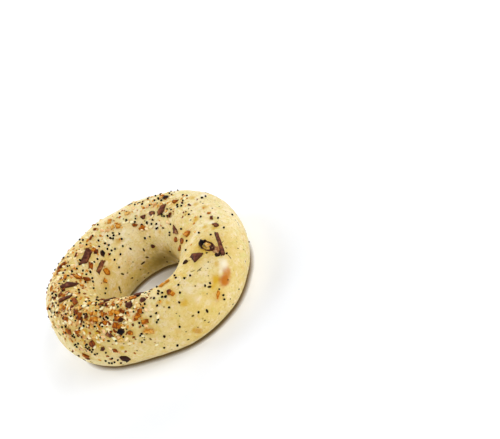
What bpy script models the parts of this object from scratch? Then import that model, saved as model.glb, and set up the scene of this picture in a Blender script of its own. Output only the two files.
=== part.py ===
"""An everything bagel, modelled as one solid at its real size, in metres, with +Z up.

A hand-shaped ring of pale boiled dough lies on its flat underside at z = 0. Flakes of onion,
bits of toasted garlic, sesame seeds and poppy seeds are baked into its crust.

Two angles, in degrees, name a place on the dough:
    around  round the ring, counted from +X towards +Y
    over    round the dough's own section: 0 outside, 90 on the crown, 180 in the hole
"""

import math
import random
from typing import NamedTuple

import bmesh
import bpy
from mathutils import Matrix, Vector, noise

MM = 0.001


class Lobe(NamedTuple):
    """A swelling that repeats `peaks` times round the ring, highest at the angle `toward`."""

    peaks: int
    height: float
    toward: float


# The ring of dough: a true ring, and the lobes that hand shaping left in it.
RING_RADIUS = 35.7 * MM
RING_LOBES = (Lobe(1, 7.3 * MM, 90), Lobe(2, 2.0 * MM, -38), Lobe(3, 1.2 * MM, 44))
DOUGH_HALF_WIDTH = 16.1 * MM
WIDTH_LOBES = (Lobe(1, 2.3 * MM, 28), Lobe(2, 0.8 * MM, -19), Lobe(3, 0.9 * MM, 41))
DOUGH_HALF_HEIGHT = 19.3 * MM
HEIGHT_LOBES = (Lobe(1, 2.8 * MM, 138), Lobe(2, 0.3 * MM, -31))
CENTRE_HEIGHT = 0.77  # of the half height: the rest has sunk into the flat underside
FOOT_ROUNDING = 2.5 * MM
RING_CENTRE = Vector((0.0 * MM, -5.9 * MM, 0))  # puts the origin under the middle of the bagel
SWELL_HEIGHT = 0.35 * MM
SWELL_LENGTH = 16 * MM
RING_STEPS = 48
SECTION_STEPS = 24


class Flake(NamedTuple):
    """A flake of onion or garlic that shows from a step away. At `turn` 0 it lies along the ring."""

    around: float
    over: float
    length: float
    width: float
    turn: float
    sides: int = 5


FLAKE_THICKNESS = 1.6 * MM
CHARRED_FLAKES = (
    # The thick right end
    Flake(325, 50, 11.6 * MM, 1.7 * MM, 23, 4),
    Flake(312, 81, 6.6 * MM, 6.3 * MM, -12, 3),
    Flake(308, 98, 3.6 * MM, 2.4 * MM, 120),
    Flake(342, 58, 3.4 * MM, 2.9 * MM, 47),
    Flake(14, 127, 7.4 * MM, 3.4 * MM, 342, 3),
    # The far crown
    Flake(40, 103, 5.8 * MM, 4.2 * MM, 74),
    Flake(49, 110, 4.5 * MM, 3.2 * MM, 5),
    Flake(58, 114, 4.4 * MM, 3.4 * MM, 16, 3),
    Flake(41, 78, 3.4 * MM, 3.2 * MM, 12),
    Flake(60, 165, 2.6 * MM, 2.4 * MM, 74),
    # The left end
    Flake(109, 138, 3.8 * MM, 2.8 * MM, 48),
    Flake(121, 122, 9.0 * MM, 3.6 * MM, 13, 4),
    Flake(122, 150, 7.0 * MM, 2.5 * MM, 9, 4),
    Flake(155, 109, 8.0 * MM, 4.6 * MM, 97),
    Flake(170, 94, 5.9 * MM, 2.0 * MM, 59, 4),
    # The near side, from the rim of the hole down to the foot
    Flake(209, 112, 6.4 * MM, 2.0 * MM, 15, 4),
    Flake(238, 79, 4.4 * MM, 3.2 * MM, 121),
    Flake(251, 83, 3.5 * MM, 3.0 * MM, 32),
    Flake(248, 106, 5.0 * MM, 2.8 * MM, 165),
    Flake(228, 54, 3.0 * MM, 2.8 * MM, 130),
    Flake(225, 35, 4.5 * MM, 4.1 * MM, 168),
    Flake(216, 33, 3.6 * MM, 3.3 * MM, 156),
    Flake(206, 11, 4.0 * MM, 2.1 * MM, 36),
    Flake(213, -18, 5.3 * MM, 4.8 * MM, 96),
)
TOASTED_FLAKES = (
    # The thick right end
    Flake(9, 138, 3.8 * MM, 2.8 * MM, 20),
    Flake(350, 124, 4.4 * MM, 2.6 * MM, 22),
    Flake(349, 137, 4.4 * MM, 2.9 * MM, 66),
    Flake(350, 109, 5.2 * MM, 4.0 * MM, 43),
    # The far crown
    Flake(68, 124, 3.0 * MM, 2.2 * MM, 164),
    Flake(62, 131, 4.2 * MM, 2.8 * MM, 180),
    Flake(31, 86, 3.8 * MM, 3.0 * MM, 17, 3),
    # The left end
    Flake(120, 161, 4.6 * MM, 4.1 * MM, 130),
    Flake(131, 165, 3.5 * MM, 2.8 * MM, 124),
    Flake(133, 86, 4.8 * MM, 2.6 * MM, 126, 4),
    Flake(143, 125, 4.8 * MM, 4.0 * MM, 43),
    Flake(179, 99, 6.6 * MM, 2.6 * MM, 157, 4),
    Flake(185, 40, 4.4 * MM, 3.4 * MM, 176),
    # The near side, from the rim of the hole down to the foot
    Flake(240, 98, 4.6 * MM, 3.9 * MM, 2),
    Flake(275, 72, 3.6 * MM, 2.4 * MM, 102),
    Flake(243, 53, 3.2 * MM, 2.8 * MM, 9),
    Flake(246, 40, 3.6 * MM, 2.0 * MM, 175, 4),
    Flake(231, 28, 3.8 * MM, 2.8 * MM, 143),
    Flake(228, 44, 3.2 * MM, 2.6 * MM, 168),
    Flake(201, 22, 4.8 * MM, 3.4 * MM, 50),
    Flake(189, -3, 4.6 * MM, 2.8 * MM, 155),
)
# A charred onion ring that has curled up on itself, and been drawn out long.
CURL_AROUND = 322.5
CURL_OVER = 68
CURL_RADIUS = 2.7 * MM
CURL_WALL = 0.9 * MM
CURL_STRETCH = 1.35
CURL_TURN = 60


class Scatter(NamedTuple):
    """One kind of small topping: the `count` largest of the `out_of` pieces that lie on it."""

    count: int
    out_of: int
    longest: float
    shortest: float
    slimness: float  # width, as a share of the length
    flatness: float  # thickness, as a share of the length
    lift: float
    gap: float
    focus: float  # how closely it keeps to the thick of the patches
    bare: float  # how thickly it lies where no patch reaches
    seed: int


BITS = Scatter(46, 220, 2.4 * MM, 0.9 * MM, 0.74, 0.50, 0.20 * MM, 1.8 * MM, 1.6, 0.003, 11)
SESAME = Scatter(72, 230, 3.0 * MM, 2.5 * MM, 0.62, 0.30, 0.15 * MM, 2.2 * MM, 1.3, 0.006, 23)
POPPY = Scatter(32, 560, 1.25 * MM, 1.0 * MM, 0.90, 0.85, 0.25 * MM, 1.4 * MM, 0.9, 0.030, 37)
LEAST_STRENGTH = 0.3  # of the patches, where a modelled piece lies: sparser places stay plain
LOWEST_OVER = -32
HIGHEST_OVER = 165
FLAKE_SHADE = 0.45  # nothing is strewn on a flake, out to this share of its length
CRAG = 0.18  # how far a broken corner strays, as a share of the piece


class Patch(NamedTuple):
    """A soft-edged patch of the dough, and how thickly the toppings lie at its middle."""

    around: float
    over: float
    around_spread: float
    over_spread: float
    strength: float


PATCHES = (
    Patch(200, 58, 28, 36, 0.90),
    Patch(160, 98, 26, 28, 0.80),
    Patch(228, 62, 13, 26, 0.50),
    Patch(247, 96, 18, 15, 0.50),
    Patch(122, 118, 22, 24, 0.40),
    Patch(84, 92, 34, 26, 0.22),
    Patch(46, 98, 20, 28, 0.42),
    Patch(350, 88, 30, 32, 0.12),
)

CRUST_COLOUR = (0.74, 0.58, 0.27, 1)
CHARRED_COLOUR = (0.11, 0.045, 0.03, 1)
TOASTED_COLOUR = (0.42, 0.14, 0.02, 1)
SESAME_COLOUR = (0.90, 0.70, 0.42, 1)
POPPY_COLOUR = (0.012, 0.011, 0.016, 1)


def lobed(base, lobes, around):
    """The base size with each lobe's share added, at this angle round the ring."""
    return base + sum(
        lobe.height * math.cos(math.radians(lobe.peaks * (around - lobe.toward))) for lobe in lobes
    )


def pressed_flat(height):
    """The height after the underside has sunk flat onto z = 0, with a rounded foot."""
    if height <= -FOOT_ROUNDING:
        return 0.0
    if height < FOOT_ROUNDING:
        return (height + FOOT_ROUNDING) ** 2 / (4 * FOOT_ROUNDING)
    return height


def dough_point(around, over):
    """The point of the dough's surface at these two angles."""
    half_width = lobed(DOUGH_HALF_WIDTH, WIDTH_LOBES, around)
    half_height = lobed(DOUGH_HALF_HEIGHT, HEIGHT_LOBES, around)
    radius = lobed(RING_RADIUS, RING_LOBES, around) + half_width * math.cos(math.radians(over))
    height = half_height * (CENTRE_HEIGHT + math.sin(math.radians(over)))
    outwards = Vector((math.cos(math.radians(around)), math.sin(math.radians(around)), 0))
    plain = outwards * radius + Vector((0, 0, height))
    swell = 1 + SWELL_HEIGHT * noise.noise(plain / SWELL_LENGTH) / half_height
    return RING_CENTRE + outwards * radius * swell + Vector((0, 0, pressed_flat(height * swell)))


def resting_place(around, over, turn, lift=0.0):
    """The frame of a piece that lies on the dough: its length, its width, and outwards."""
    step = 0.5
    along = dough_point(around + step, over) - dough_point(around - step, over)
    across = dough_point(around, over + step) - dough_point(around, over - step)
    outwards = along.cross(across).normalized()
    length = Matrix.Rotation(math.radians(turn), 3, outwards) @ along.normalized()
    axes = Matrix((length, outwards.cross(length), outwards)).transposed()
    return Matrix.Translation(dough_point(around, over) + outwards * lift) @ axes.to_4x4()


def material(name, colour, roughness):
    """A plain finish of this colour."""
    finish = bpy.data.materials.new(name)
    finish.use_nodes = True
    shader = finish.node_tree.nodes["Principled BSDF"]
    shader.inputs["Base Color"].default_value = colour
    shader.inputs["Roughness"].default_value = roughness
    shader.inputs["Metallic"].default_value = 0.0
    return finish


def chunk(sides, crags):
    """A broken piece, 1 across, with this many sides and its corners out of true."""
    mesh = bmesh.new()
    if sides == 4:
        bmesh.ops.create_cube(mesh, size=1)
    else:
        bmesh.ops.create_cone(mesh, segments=sides, cap_ends=True, radius1=0.55, radius2=0.5, depth=1)
    for vertex in mesh.verts:
        vertex.co += CRAG * Vector([crags.uniform(-1, 1) for _ in range(3)])
    return mesh


def grain():
    """A seed, 1 across, with few sides."""
    mesh = bmesh.new()
    bmesh.ops.create_icosphere(mesh, subdivisions=1, radius=0.5)
    return mesh


def lay(name, mesh, sizes, place, finish, folder):
    """Makes a topping of a unit shape: brings it to its size and lays it in its place."""
    for vertex in mesh.verts:
        vertex.co = place @ Vector([share * size for share, size in zip(vertex.co, sizes)])
    bmesh.ops.triangulate(mesh, faces=mesh.faces)
    bmesh.ops.recalc_face_normals(mesh, faces=mesh.faces)
    data = bpy.data.meshes.new(name)
    mesh.to_mesh(data)
    mesh.free()
    data.materials.append(finish)
    folder.objects.link(bpy.data.objects.new(name, data))


def lay_flakes(name, flakes, finish, folder):
    """Lays flakes of onion or garlic, each at its own place."""
    crags = random.Random(name)
    for number, flake in enumerate(flakes):
        sizes = (flake.length, flake.width, FLAKE_THICKNESS)
        place = resting_place(flake.around, flake.over, flake.turn)
        lay(f"{name}_{number}", chunk(flake.sides, crags), sizes, place, finish, folder)


def lay_curl(finish, folder):
    """Lays the charred onion ring, half sunk in the crust."""
    bpy.ops.mesh.primitive_torus_add(
        major_segments=12,
        minor_segments=5,
        major_radius=CURL_RADIUS,
        minor_radius=CURL_WALL,
    )
    curl = bpy.context.object
    curl.name = "onion_curl"
    curl.data.transform(Matrix.Diagonal((CURL_STRETCH, 1, 1, 1)))
    curl.data.transform(resting_place(CURL_AROUND, CURL_OVER, CURL_TURN))
    curl.data.materials.append(finish)
    split_into_triangles(curl)
    curl.users_collection[0].objects.unlink(curl)
    folder.objects.link(curl)


def strewn_strength(around, over):
    """How thickly the toppings lie here: 1 is as thick as they come."""
    strength = 0.0
    for patch in PATCHES:
        off_around = ((around - patch.around + 180) % 360 - 180) / patch.around_spread
        off_over = (over - patch.over) / patch.over_spread
        strength += patch.strength * math.exp(-(off_around**2 + off_over**2) / 2)
    return strength


def on_a_flake(point):
    """Whether the point of the dough is under one of the flakes."""
    return any(
        (point - dough_point(flake.around, flake.over)).length < FLAKE_SHADE * flake.length
        for flake in CHARRED_FLAKES + TOASTED_FLAKES
    )


def strewn_places(scatter):
    """Yields the place and the length of each modelled piece of a kind, the largest first."""
    draw = random.Random(scatter.seed)
    widest = RING_RADIUS + DOUGH_HALF_WIDTH
    laid = []
    while len(laid) < scatter.count:
        around = draw.uniform(0, 360)
        over = draw.uniform(LOWEST_OVER, HIGHEST_OVER)
        turn = draw.uniform(0, 360)
        chance = draw.random()
        point = dough_point(around, over)
        strength = strewn_strength(around, over)
        share_of_area = (point - RING_CENTRE).xy.length / widest
        if chance > (scatter.bare + strength**scatter.focus) * share_of_area:
            continue
        if strength < LEAST_STRENGTH:
            continue
        if on_a_flake(point) or any((point - other).length < scatter.gap for other in laid):
            continue
        shrunk = len(laid) / scatter.out_of
        laid.append(point)
        length = scatter.longest + (scatter.shortest - scatter.longest) * shrunk
        yield resting_place(around, over, turn, scatter.lift), length


def strew_bits(scatter, finish, folder):
    """Strews broken bits of toasted garlic and onion over the dough."""
    crags = random.Random(scatter.seed)
    for number, (place, length) in enumerate(strewn_places(scatter)):
        sizes = (length, length * scatter.slimness, length * scatter.flatness)
        lay(f"bit_{number}", chunk(4, crags), sizes, place, finish, folder)


def strew_seeds(name, scatter, finish, folder):
    """Strews one kind of seed over the dough."""
    for number, (place, length) in enumerate(strewn_places(scatter)):
        sizes = (length, length * scatter.slimness, length * scatter.flatness)
        lay(f"{name}_{number}", grain(), sizes, place, finish, folder)


def shaped_dough(folder):
    """The plain ring of dough: a torus whose every point moves to its place on the dough."""
    bpy.ops.mesh.primitive_torus_add(
        major_segments=RING_STEPS,
        minor_segments=SECTION_STEPS,
        major_radius=RING_RADIUS,
        minor_radius=DOUGH_HALF_WIDTH,
    )
    dough = bpy.context.object
    dough.name = dough.data.name = "bagel"
    dough.data.materials.append(material("pale_crust", CRUST_COLOUR, 0.55))
    for vertex in dough.data.vertices:
        around = math.degrees(math.atan2(vertex.co.y, vertex.co.x))
        over = math.degrees(math.atan2(vertex.co.z, vertex.co.xy.length - RING_RADIUS))
        vertex.co = dough_point(around, over)
    split_into_triangles(dough)
    dough.users_collection[0].objects.unlink(dough)
    folder.objects.link(dough)
    return dough


def split_into_triangles(solid):
    """Splits the faces into triangles, which are truly flat, so that a union cuts them cleanly."""
    mesh = bmesh.new()
    mesh.from_mesh(solid.data)
    bmesh.ops.triangulate(mesh, faces=mesh.faces)
    mesh.to_mesh(solid.data)
    mesh.free()


def fuse(solid, folder):
    """Joins everything in the folder to the solid, and empties the folder."""
    union = solid.modifiers.new("fused_toppings", "BOOLEAN")
    union.operation = "UNION"
    union.solver = "EXACT"
    union.material_mode = "TRANSFER"
    union.operand_type = "COLLECTION"
    union.collection = folder
    graph = bpy.context.evaluated_depsgraph_get()
    fused = bpy.data.meshes.new_from_object(solid.evaluated_get(graph))
    solid.modifiers.clear()
    solid.data = fused
    fused.name = solid.name
    for piece in list(folder.objects):
        bpy.data.objects.remove(piece)
    bpy.data.collections.remove(folder)


def keep_one_body(solid):
    """Drops loose scraps and sealed hollows, so that one closed surface is left."""
    mesh = bmesh.new()
    mesh.from_mesh(solid.data)
    unseen = set(mesh.faces)
    bodies = []
    while unseen:
        body = [unseen.pop()]
        for face in body:
            neighbours = {near for edge in face.edges for near in edge.link_faces} & unseen
            body.extend(neighbours)
            unseen -= neighbours
        bodies.append(body)
    bodies.sort(key=len)
    scraps = [face for body in bodies[:-1] for face in body]
    bmesh.ops.delete(mesh, geom=scraps, context="FACES")
    mesh.to_mesh(solid.data)
    mesh.free()


def main():
    """Builds the bagel."""
    for old in list(bpy.data.objects):
        bpy.data.objects.remove(old)
    parts = bpy.data.collections.new("everything_bagel")
    toppings = bpy.data.collections.new("toppings")
    for folder in (parts, toppings):
        bpy.context.scene.collection.children.link(folder)

    charred = material("charred_onion", CHARRED_COLOUR, 0.5)
    toasted = material("toasted_garlic", TOASTED_COLOUR, 0.5)
    bagel = shaped_dough(parts)
    lay_flakes("charred", CHARRED_FLAKES, charred, toppings)
    lay_flakes("toasted", TOASTED_FLAKES, toasted, toppings)
    lay_curl(charred, toppings)
    strew_bits(BITS, toasted, toppings)
    strew_seeds("sesame", SESAME, material("sesame_seed", SESAME_COLOUR, 0.4), toppings)
    strew_seeds("poppy", POPPY, material("poppy_seed", POPPY_COLOUR, 0.4), toppings)

    fuse(bagel, toppings)
    keep_one_body(bagel)
    bagel.data.shade_smooth()
    bagel.data.set_sharp_from_angle(angle=math.radians(30))


main()
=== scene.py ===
"""The finished look of an everything bagel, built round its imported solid, in metres, with +Z up.

A lopsided ring of pale dough, boiled and lightly baked, carries flakes of charred onion, bits of
toasted garlic, sesame seeds and poppy seeds. Two angles, in degrees, name a place on the dough:
    around  round the ring, counted from +X towards +Y
    over    round the dough's own section: 0 outside, 90 on the crown, 180 in the hole
Toppings that the photograph shows plainly are placed by the pixel that they cover, and sit on the
dough under that pixel. The rest are strewn by the rule that strews the solid's own toppings.
"""

import logging
import math
import random
from collections.abc import Iterator
from dataclasses import dataclass, field
from enum import Enum

import bmesh
import bpy
from mathutils import Matrix, Vector, noise
from mathutils.bvhtree import BVHTree
from mathutils.kdtree import KDTree


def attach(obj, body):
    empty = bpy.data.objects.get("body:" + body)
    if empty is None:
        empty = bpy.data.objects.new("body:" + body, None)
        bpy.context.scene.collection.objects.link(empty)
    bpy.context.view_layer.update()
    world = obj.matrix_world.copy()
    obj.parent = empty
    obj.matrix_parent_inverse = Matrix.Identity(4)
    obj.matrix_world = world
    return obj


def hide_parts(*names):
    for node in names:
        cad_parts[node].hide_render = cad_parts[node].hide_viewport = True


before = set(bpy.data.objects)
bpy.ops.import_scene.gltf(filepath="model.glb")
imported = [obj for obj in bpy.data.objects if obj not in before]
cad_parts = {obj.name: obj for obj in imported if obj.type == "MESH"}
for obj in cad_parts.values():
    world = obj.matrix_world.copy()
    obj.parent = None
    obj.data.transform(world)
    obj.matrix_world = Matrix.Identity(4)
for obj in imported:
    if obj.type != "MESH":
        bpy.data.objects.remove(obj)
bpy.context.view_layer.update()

log = logging.getLogger("bagel")

MM = 0.001
BODY = "root"
NODE = "bagel"
NOISE_SEED = 7  # without one, vector noise starts from the clock
MIX_FACTOR, MIX_A, MIX_B, MIX_RESULT = 0, 6, 7, 2  # the sockets of a colour Mix node


def linear(hex_colour: str) -> tuple[float, float, float, float]:
    """Turns an sRGB hex colour into the linear colour that shaders take.

    Args:
        hex_colour: Six hex digits after a hash.

    Returns:
        Red, green, blue and a full alpha.
    """
    shares = [int(hex_colour[at : at + 2], 16) / 255 for at in (1, 3, 5)]
    red, green, blue = (
        share / 12.92 if share <= 0.04045 else ((share + 0.055) / 1.055) ** 2.4 for share in shares
    )
    return red, green, blue, 1.0


def per_metre(size_mm: float) -> float:
    """The scale of a texture whose features are this many millimetres across."""
    return 1.0 / (size_mm * MM)


def set_inputs(node: bpy.types.Node, inputs: dict) -> None:
    """Sets inputs of a node.

    Args:
        node: The node.
        inputs: For each input, by name or number, a value or the socket that feeds it.
    """
    for name, value in inputs.items():
        if isinstance(value, bpy.types.NodeSocket):
            node.id_data.links.new(value, node.inputs[name])
        else:
            node.inputs[name].default_value = value


def add_node(
    tree: bpy.types.NodeTree,
    kind: str,
    inputs: dict | None = None,
    stops: tuple = (),
    **settings: object,
) -> bpy.types.Node:
    """Adds a node to a material.

    Args:
        tree: The material's node tree.
        kind: The node's type.
        inputs: For each input, by name or number, a value or the socket that feeds it.
        stops: The places and hex colours of a colour ramp.
        settings: The node's own properties.

    Returns:
        The new node.
    """
    node = tree.nodes.new(kind)
    for name, value in settings.items():
        setattr(node, name, value)
    set_inputs(node, inputs or {})
    if stops:
        elements = node.color_ramp.elements
        while len(elements) < len(stops):
            elements.new(1.0)
        for element, (place, colour) in zip(elements, stops):
            element.position = place
            element.color = linear(colour)
    return node


def tinted(
    tree: bpy.types.NodeTree, under: bpy.types.NodeSocket, amount: bpy.types.NodeSocket, tint: str
) -> bpy.types.NodeSocket:
    """Lays a tint over a colour.

    Args:
        tree: The material's node tree.
        under: The colour.
        amount: How much of it the tint covers.
        tint: The tint's hex colour.

    Returns:
        The colour with the tint over it.
    """
    mixed = add_node(
        tree,
        "ShaderNodeMix",
        {MIX_FACTOR: amount, MIX_A: under, MIX_B: linear(tint)},
        data_type="RGBA",
    )
    return mixed.outputs[MIX_RESULT]


def new_material(name: str) -> tuple[bpy.types.Material, bpy.types.NodeTree, bpy.types.Node]:
    """Makes a material, and gives its node tree and its shader with it."""
    material = bpy.data.materials.new(name)
    material.use_nodes = True
    return material, material.node_tree, material.node_tree.nodes["Principled BSDF"]


def new_object(name: str, mesh: bmesh.types.BMesh, material: bpy.types.Material) -> bpy.types.Object:
    """Makes a finished mesh an object of the scene, at the origin.

    Args:
        name: The object's name.
        mesh: Its surface, in place.
        material: What it is made of.

    Returns:
        The object.
    """
    data = bpy.data.meshes.new(name)
    mesh.to_mesh(data)
    data.materials.append(material)
    made = bpy.data.objects.new(name, data)
    bpy.context.scene.collection.objects.link(made)
    return made


def float_layer(mesh: bmesh.types.BMesh, name: str) -> bmesh.types.BMLayerItem:
    """The layer of this name that holds a number for each point, made where there is none."""
    return mesh.verts.layers.float.get(name) or mesh.verts.layers.float.new(name)


def lying(point: Vector, length: Vector, outwards: Vector, lift: float) -> Matrix:
    """The frame of a piece that lies at a point: its length, its width, and outwards."""
    axes = Matrix((length, outwards.cross(length), outwards)).transposed()
    return Matrix.Translation(point + outwards * lift) @ axes.to_4x4()


def turned_ring(
    radius: float, section_radius: float, ring_steps: int, section_steps: int
) -> bmesh.types.BMesh:
    """Turns a circle that stands on edge once round the Z axis.

    Args:
        radius: How far the circle's middle is from the axis.
        section_radius: The circle's own radius.
        ring_steps: The steps round the ring.
        section_steps: The steps round the circle.

    Returns:
        The closed ring.
    """
    mesh = bmesh.new()
    stood_up = Matrix.Translation((radius, 0, 0)) @ Matrix.Rotation(math.pi / 2, 4, "X")
    bmesh.ops.create_circle(mesh, segments=section_steps, radius=section_radius, matrix=stood_up)
    bmesh.ops.spin(
        mesh,
        geom=mesh.verts[:] + mesh.edges[:],
        cent=(0, 0, 0),
        axis=(0, 0, 1),
        angle=math.tau,
        steps=ring_steps,
        use_merge=True,
    )
    return mesh


# ---------------------------------------------------------------------------------------------
# The dough's form, by the same rule and the same sizes as the solid


@dataclass(frozen=True)
class Lobe:
    """A swelling that repeats `peaks` times round the ring, highest at the angle `toward`."""

    peaks: int
    height: float
    toward: float


def lobed(base: float, lobes: tuple[Lobe, ...], around: float) -> float:
    """The base size with each lobe's share added, at this angle round the ring."""
    return base + sum(
        lobe.height * math.cos(math.radians(lobe.peaks * (around - lobe.toward))) for lobe in lobes
    )


@dataclass(frozen=True)
class Ring:
    """The bare ring of dough: a true ring, and the lobes that hand shaping left in it."""

    radius: float = 35.7 * MM
    radius_lobes: tuple[Lobe, ...] = (Lobe(1, 7.3 * MM, 90), Lobe(2, 2.0 * MM, -38), Lobe(3, 1.2 * MM, 44))
    half_width: float = 16.1 * MM
    width_lobes: tuple[Lobe, ...] = (Lobe(1, 2.3 * MM, 28), Lobe(2, 0.8 * MM, -19), Lobe(3, 0.9 * MM, 41))
    half_height: float = 19.3 * MM
    height_lobes: tuple[Lobe, ...] = (Lobe(1, 2.8 * MM, 138), Lobe(2, 0.3 * MM, -31))
    centre_height: float = 0.77  # of the half height: the rest has sunk into the flat underside
    foot_rounding: float = 2.5 * MM
    centre: Vector = Vector((0.0 * MM, -5.9 * MM, 0))
    swell_height: float = 0.35 * MM
    swell_length: float = 16 * MM

    def pressed_flat(self, height: float) -> float:
        """The height after the underside has sunk flat onto z = 0, with a rounded foot."""
        if height <= -self.foot_rounding:
            return 0.0
        if height < self.foot_rounding:
            return (height + self.foot_rounding) ** 2 / (4 * self.foot_rounding)
        return height

    def point(self, around: float, over: float) -> Vector:
        """The point of the dough's surface at these two angles."""
        half_width = lobed(self.half_width, self.width_lobes, around)
        half_height = lobed(self.half_height, self.height_lobes, around)
        radius = lobed(self.radius, self.radius_lobes, around) + half_width * math.cos(math.radians(over))
        height = half_height * (self.centre_height + math.sin(math.radians(over)))
        outwards = Vector((math.cos(math.radians(around)), math.sin(math.radians(around)), 0))
        plain = outwards * radius + Vector((0, 0, height))
        swell = 1 + self.swell_height * noise.noise(plain / self.swell_length) / half_height
        flat = Vector((0, 0, self.pressed_flat(height * swell)))
        return self.centre + outwards * radius * swell + flat

    def resting_place(self, around: float, over: float, turn: float, lift: float = 0.0) -> Matrix:
        """The frame of a piece that lies on the dough: its length, its width, and outwards.

        Args:
            around: The angle round the ring.
            over: The angle round the section.
            turn: How far the piece's length is turned from lying along the ring.
            lift: How far the piece's middle stands off the dough.

        Returns:
            The piece's frame in the model.
        """
        step = 0.5
        along = self.point(around + step, over) - self.point(around - step, over)
        across = self.point(around, over + step) - self.point(around, over - step)
        outwards = along.cross(across).normalized()
        length = Matrix.Rotation(math.radians(turn), 3, outwards) @ along.normalized()
        return lying(self.point(around, over), length, outwards, lift)

    def shell(self, ring_steps: int, section_steps: int) -> bmesh.types.BMesh:
        """Moves every point of a plain ring to its place on the dough.

        Args:
            ring_steps: The steps round the ring.
            section_steps: The steps round the section.

        Returns:
            The closed surface of the bare dough.
        """
        mesh = turned_ring(self.radius, self.half_width, ring_steps, section_steps)
        for vertex in mesh.verts:
            around = math.degrees(math.atan2(vertex.co.y, vertex.co.x))
            over = math.degrees(math.atan2(vertex.co.z, vertex.co.xy.length - self.radius))
            vertex.co = self.point(around, over)
        bmesh.ops.recalc_face_normals(mesh, faces=mesh.faces)
        mesh.normal_update()
        return mesh


# ---------------------------------------------------------------------------------------------
# The camera


@dataclass(frozen=True)
class PhotoCamera:
    """A camera where the photograph was taken from, whose roll gives the bagel its lean."""

    elevation: float = 33.8
    roll: float = -40.4
    distance: float = 0.7
    image: tuple[int, int] = (500, 439)
    pixel: float = 0.5 * MM  # at the aim
    aim: Vector = Vector((0.0 * MM, -5.9 * MM, 17.37 * MM))
    aim_pixel: tuple[float, float] = (152.9, 282.1)
    sensor_mm: float = 36.0
    nearest: float = 10 * MM  # that it draws

    def through(self, x: float, y: float) -> Vector:
        """The way that a pixel of the photograph looks, in the camera's own axes."""
        focal = self.distance / self.pixel
        width, height = self.image
        return Vector(((x - width / 2) / focal, (height / 2 - y) / focal, -1)).normalized()

    def frame(self) -> Matrix:
        """The camera's place and axes, which put the aim on its pixel."""
        elevation, roll = math.radians(self.elevation), math.radians(self.roll)
        eye = self.aim + self.distance * Vector((0, -math.cos(elevation), math.sin(elevation)))
        view = (self.aim - eye).normalized()
        right = Vector((1, 0, 0))
        up = right.cross(view)
        across = right * math.cos(roll) + up * math.sin(roll)
        upwards = up * math.cos(roll) - right * math.sin(roll)
        axes = Matrix((across, upwards, -view)).transposed()
        off_centre = Vector((0, 0, -1)).rotation_difference(self.through(*self.aim_pixel))
        return Matrix.Translation(eye) @ (axes @ off_centre.to_matrix().inverted()).to_4x4()

    def build(self) -> bpy.types.Object:
        """Makes the camera and sets it as the scene's."""
        lens = bpy.data.cameras.new("photo_camera")
        lens.sensor_width = self.sensor_mm
        lens.lens = self.sensor_mm * self.distance / (self.image[0] * self.pixel)
        lens.clip_start = self.nearest
        camera = bpy.data.objects.new("photo_camera", lens)
        camera.matrix_world = self.frame()
        bpy.context.scene.collection.objects.link(camera)
        bpy.context.scene.camera = camera
        return camera


class Surface:
    """A closed surface that a piece can be laid on, by its place or by the pixel that shows it."""

    reach: float = 3 * MM  # how far off the surface a piece may be that settles on it
    clearance: float = 1 * MM  # how far off the surface a look towards the camera starts

    def __init__(self, shell: bmesh.types.BMesh, camera: PhotoCamera) -> None:
        """Takes the surface in.

        Args:
            shell: The surface, which is used up.
            camera: The camera that sees it.
        """
        self.tree = BVHTree.FromBMesh(shell)
        shell.free()
        self.frame = camera.frame()
        self.camera = camera

    def under(self, x: float, y: float, turn: float = 0.0, lift: float = 0.0) -> Matrix:
        """The frame of a piece that lies on the dough where a pixel of the photograph shows it.

        Args:
            x: The pixel, from the left.
            y: The pixel, from the top.
            turn: How the piece's length lies in the photograph, counted from right to up.
            lift: How far the piece's middle stands off the dough.

        Returns:
            The piece's frame in the model.
        """
        axes = self.frame.to_3x3()
        ray = axes @ self.camera.through(x, y)
        place, outwards, _, _ = self.tree.ray_cast(self.frame.translation, ray)
        if place is None:
            raise ValueError(f"no dough is seen at {x}, {y}")
        in_view = axes @ Vector((math.cos(math.radians(turn)), math.sin(math.radians(turn)), 0))
        # The length lies where the plane through the eye and that direction cuts the dough.
        length = outwards.cross(ray.cross(in_view)).normalized()
        if length.dot(in_view) < 0:
            length.negate()
        return lying(place, length, outwards, lift)

    def settled(self, place: Matrix, lift: float) -> Matrix:
        """Brings a piece's frame onto the surface, along its own outward axis.

        Args:
            place: The piece's frame, near the surface.
            lift: How far its middle then stands off the surface.

        Returns:
            The frame moved.
        """
        outwards = place.to_3x3().col[2]
        found, _, _, _ = self.tree.ray_cast(place.translation + outwards * self.reach, -outwards)
        point = found if found is not None else place.translation
        return Matrix.Translation(point + outwards * lift - place.translation) @ place

    def facing(self, place: Matrix) -> float:
        """How squarely the camera sees the dough at this frame's middle: 0 where it doesn't."""
        point = place.translation
        outwards = place.to_3x3().col[2]
        to_eye = (self.frame.translation - point).normalized()
        start = point + outwards * self.clearance
        return 0.0 if self.tree.ray_cast(start, to_eye)[0] else max(0.0, outwards.dot(to_eye))


# ---------------------------------------------------------------------------------------------
# Finishes


class Mark(Enum):
    """What the dough's surface carries besides its own colour, each an attribute of its mesh.

    Oil and toast are stains. The rest are partly or wholly painted light: shade painted on the wall of the
    hole, a deeper gold that is partly painted shade, and pale patches of flour and painted highlight.
    """

    OIL = "oil"
    TOAST = "toast"
    # Flour, and highlight painted where the light falls most
    FLOUR_AND_HIGHLIGHT = "flour_and_highlight"
    # Shade painted on the wall of the hole
    HOLE_SHADE = "hole_shade"
    # A deeper gold that is partly painted shade
    GOLD_AND_SHADE = "gold_and_shade"


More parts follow.
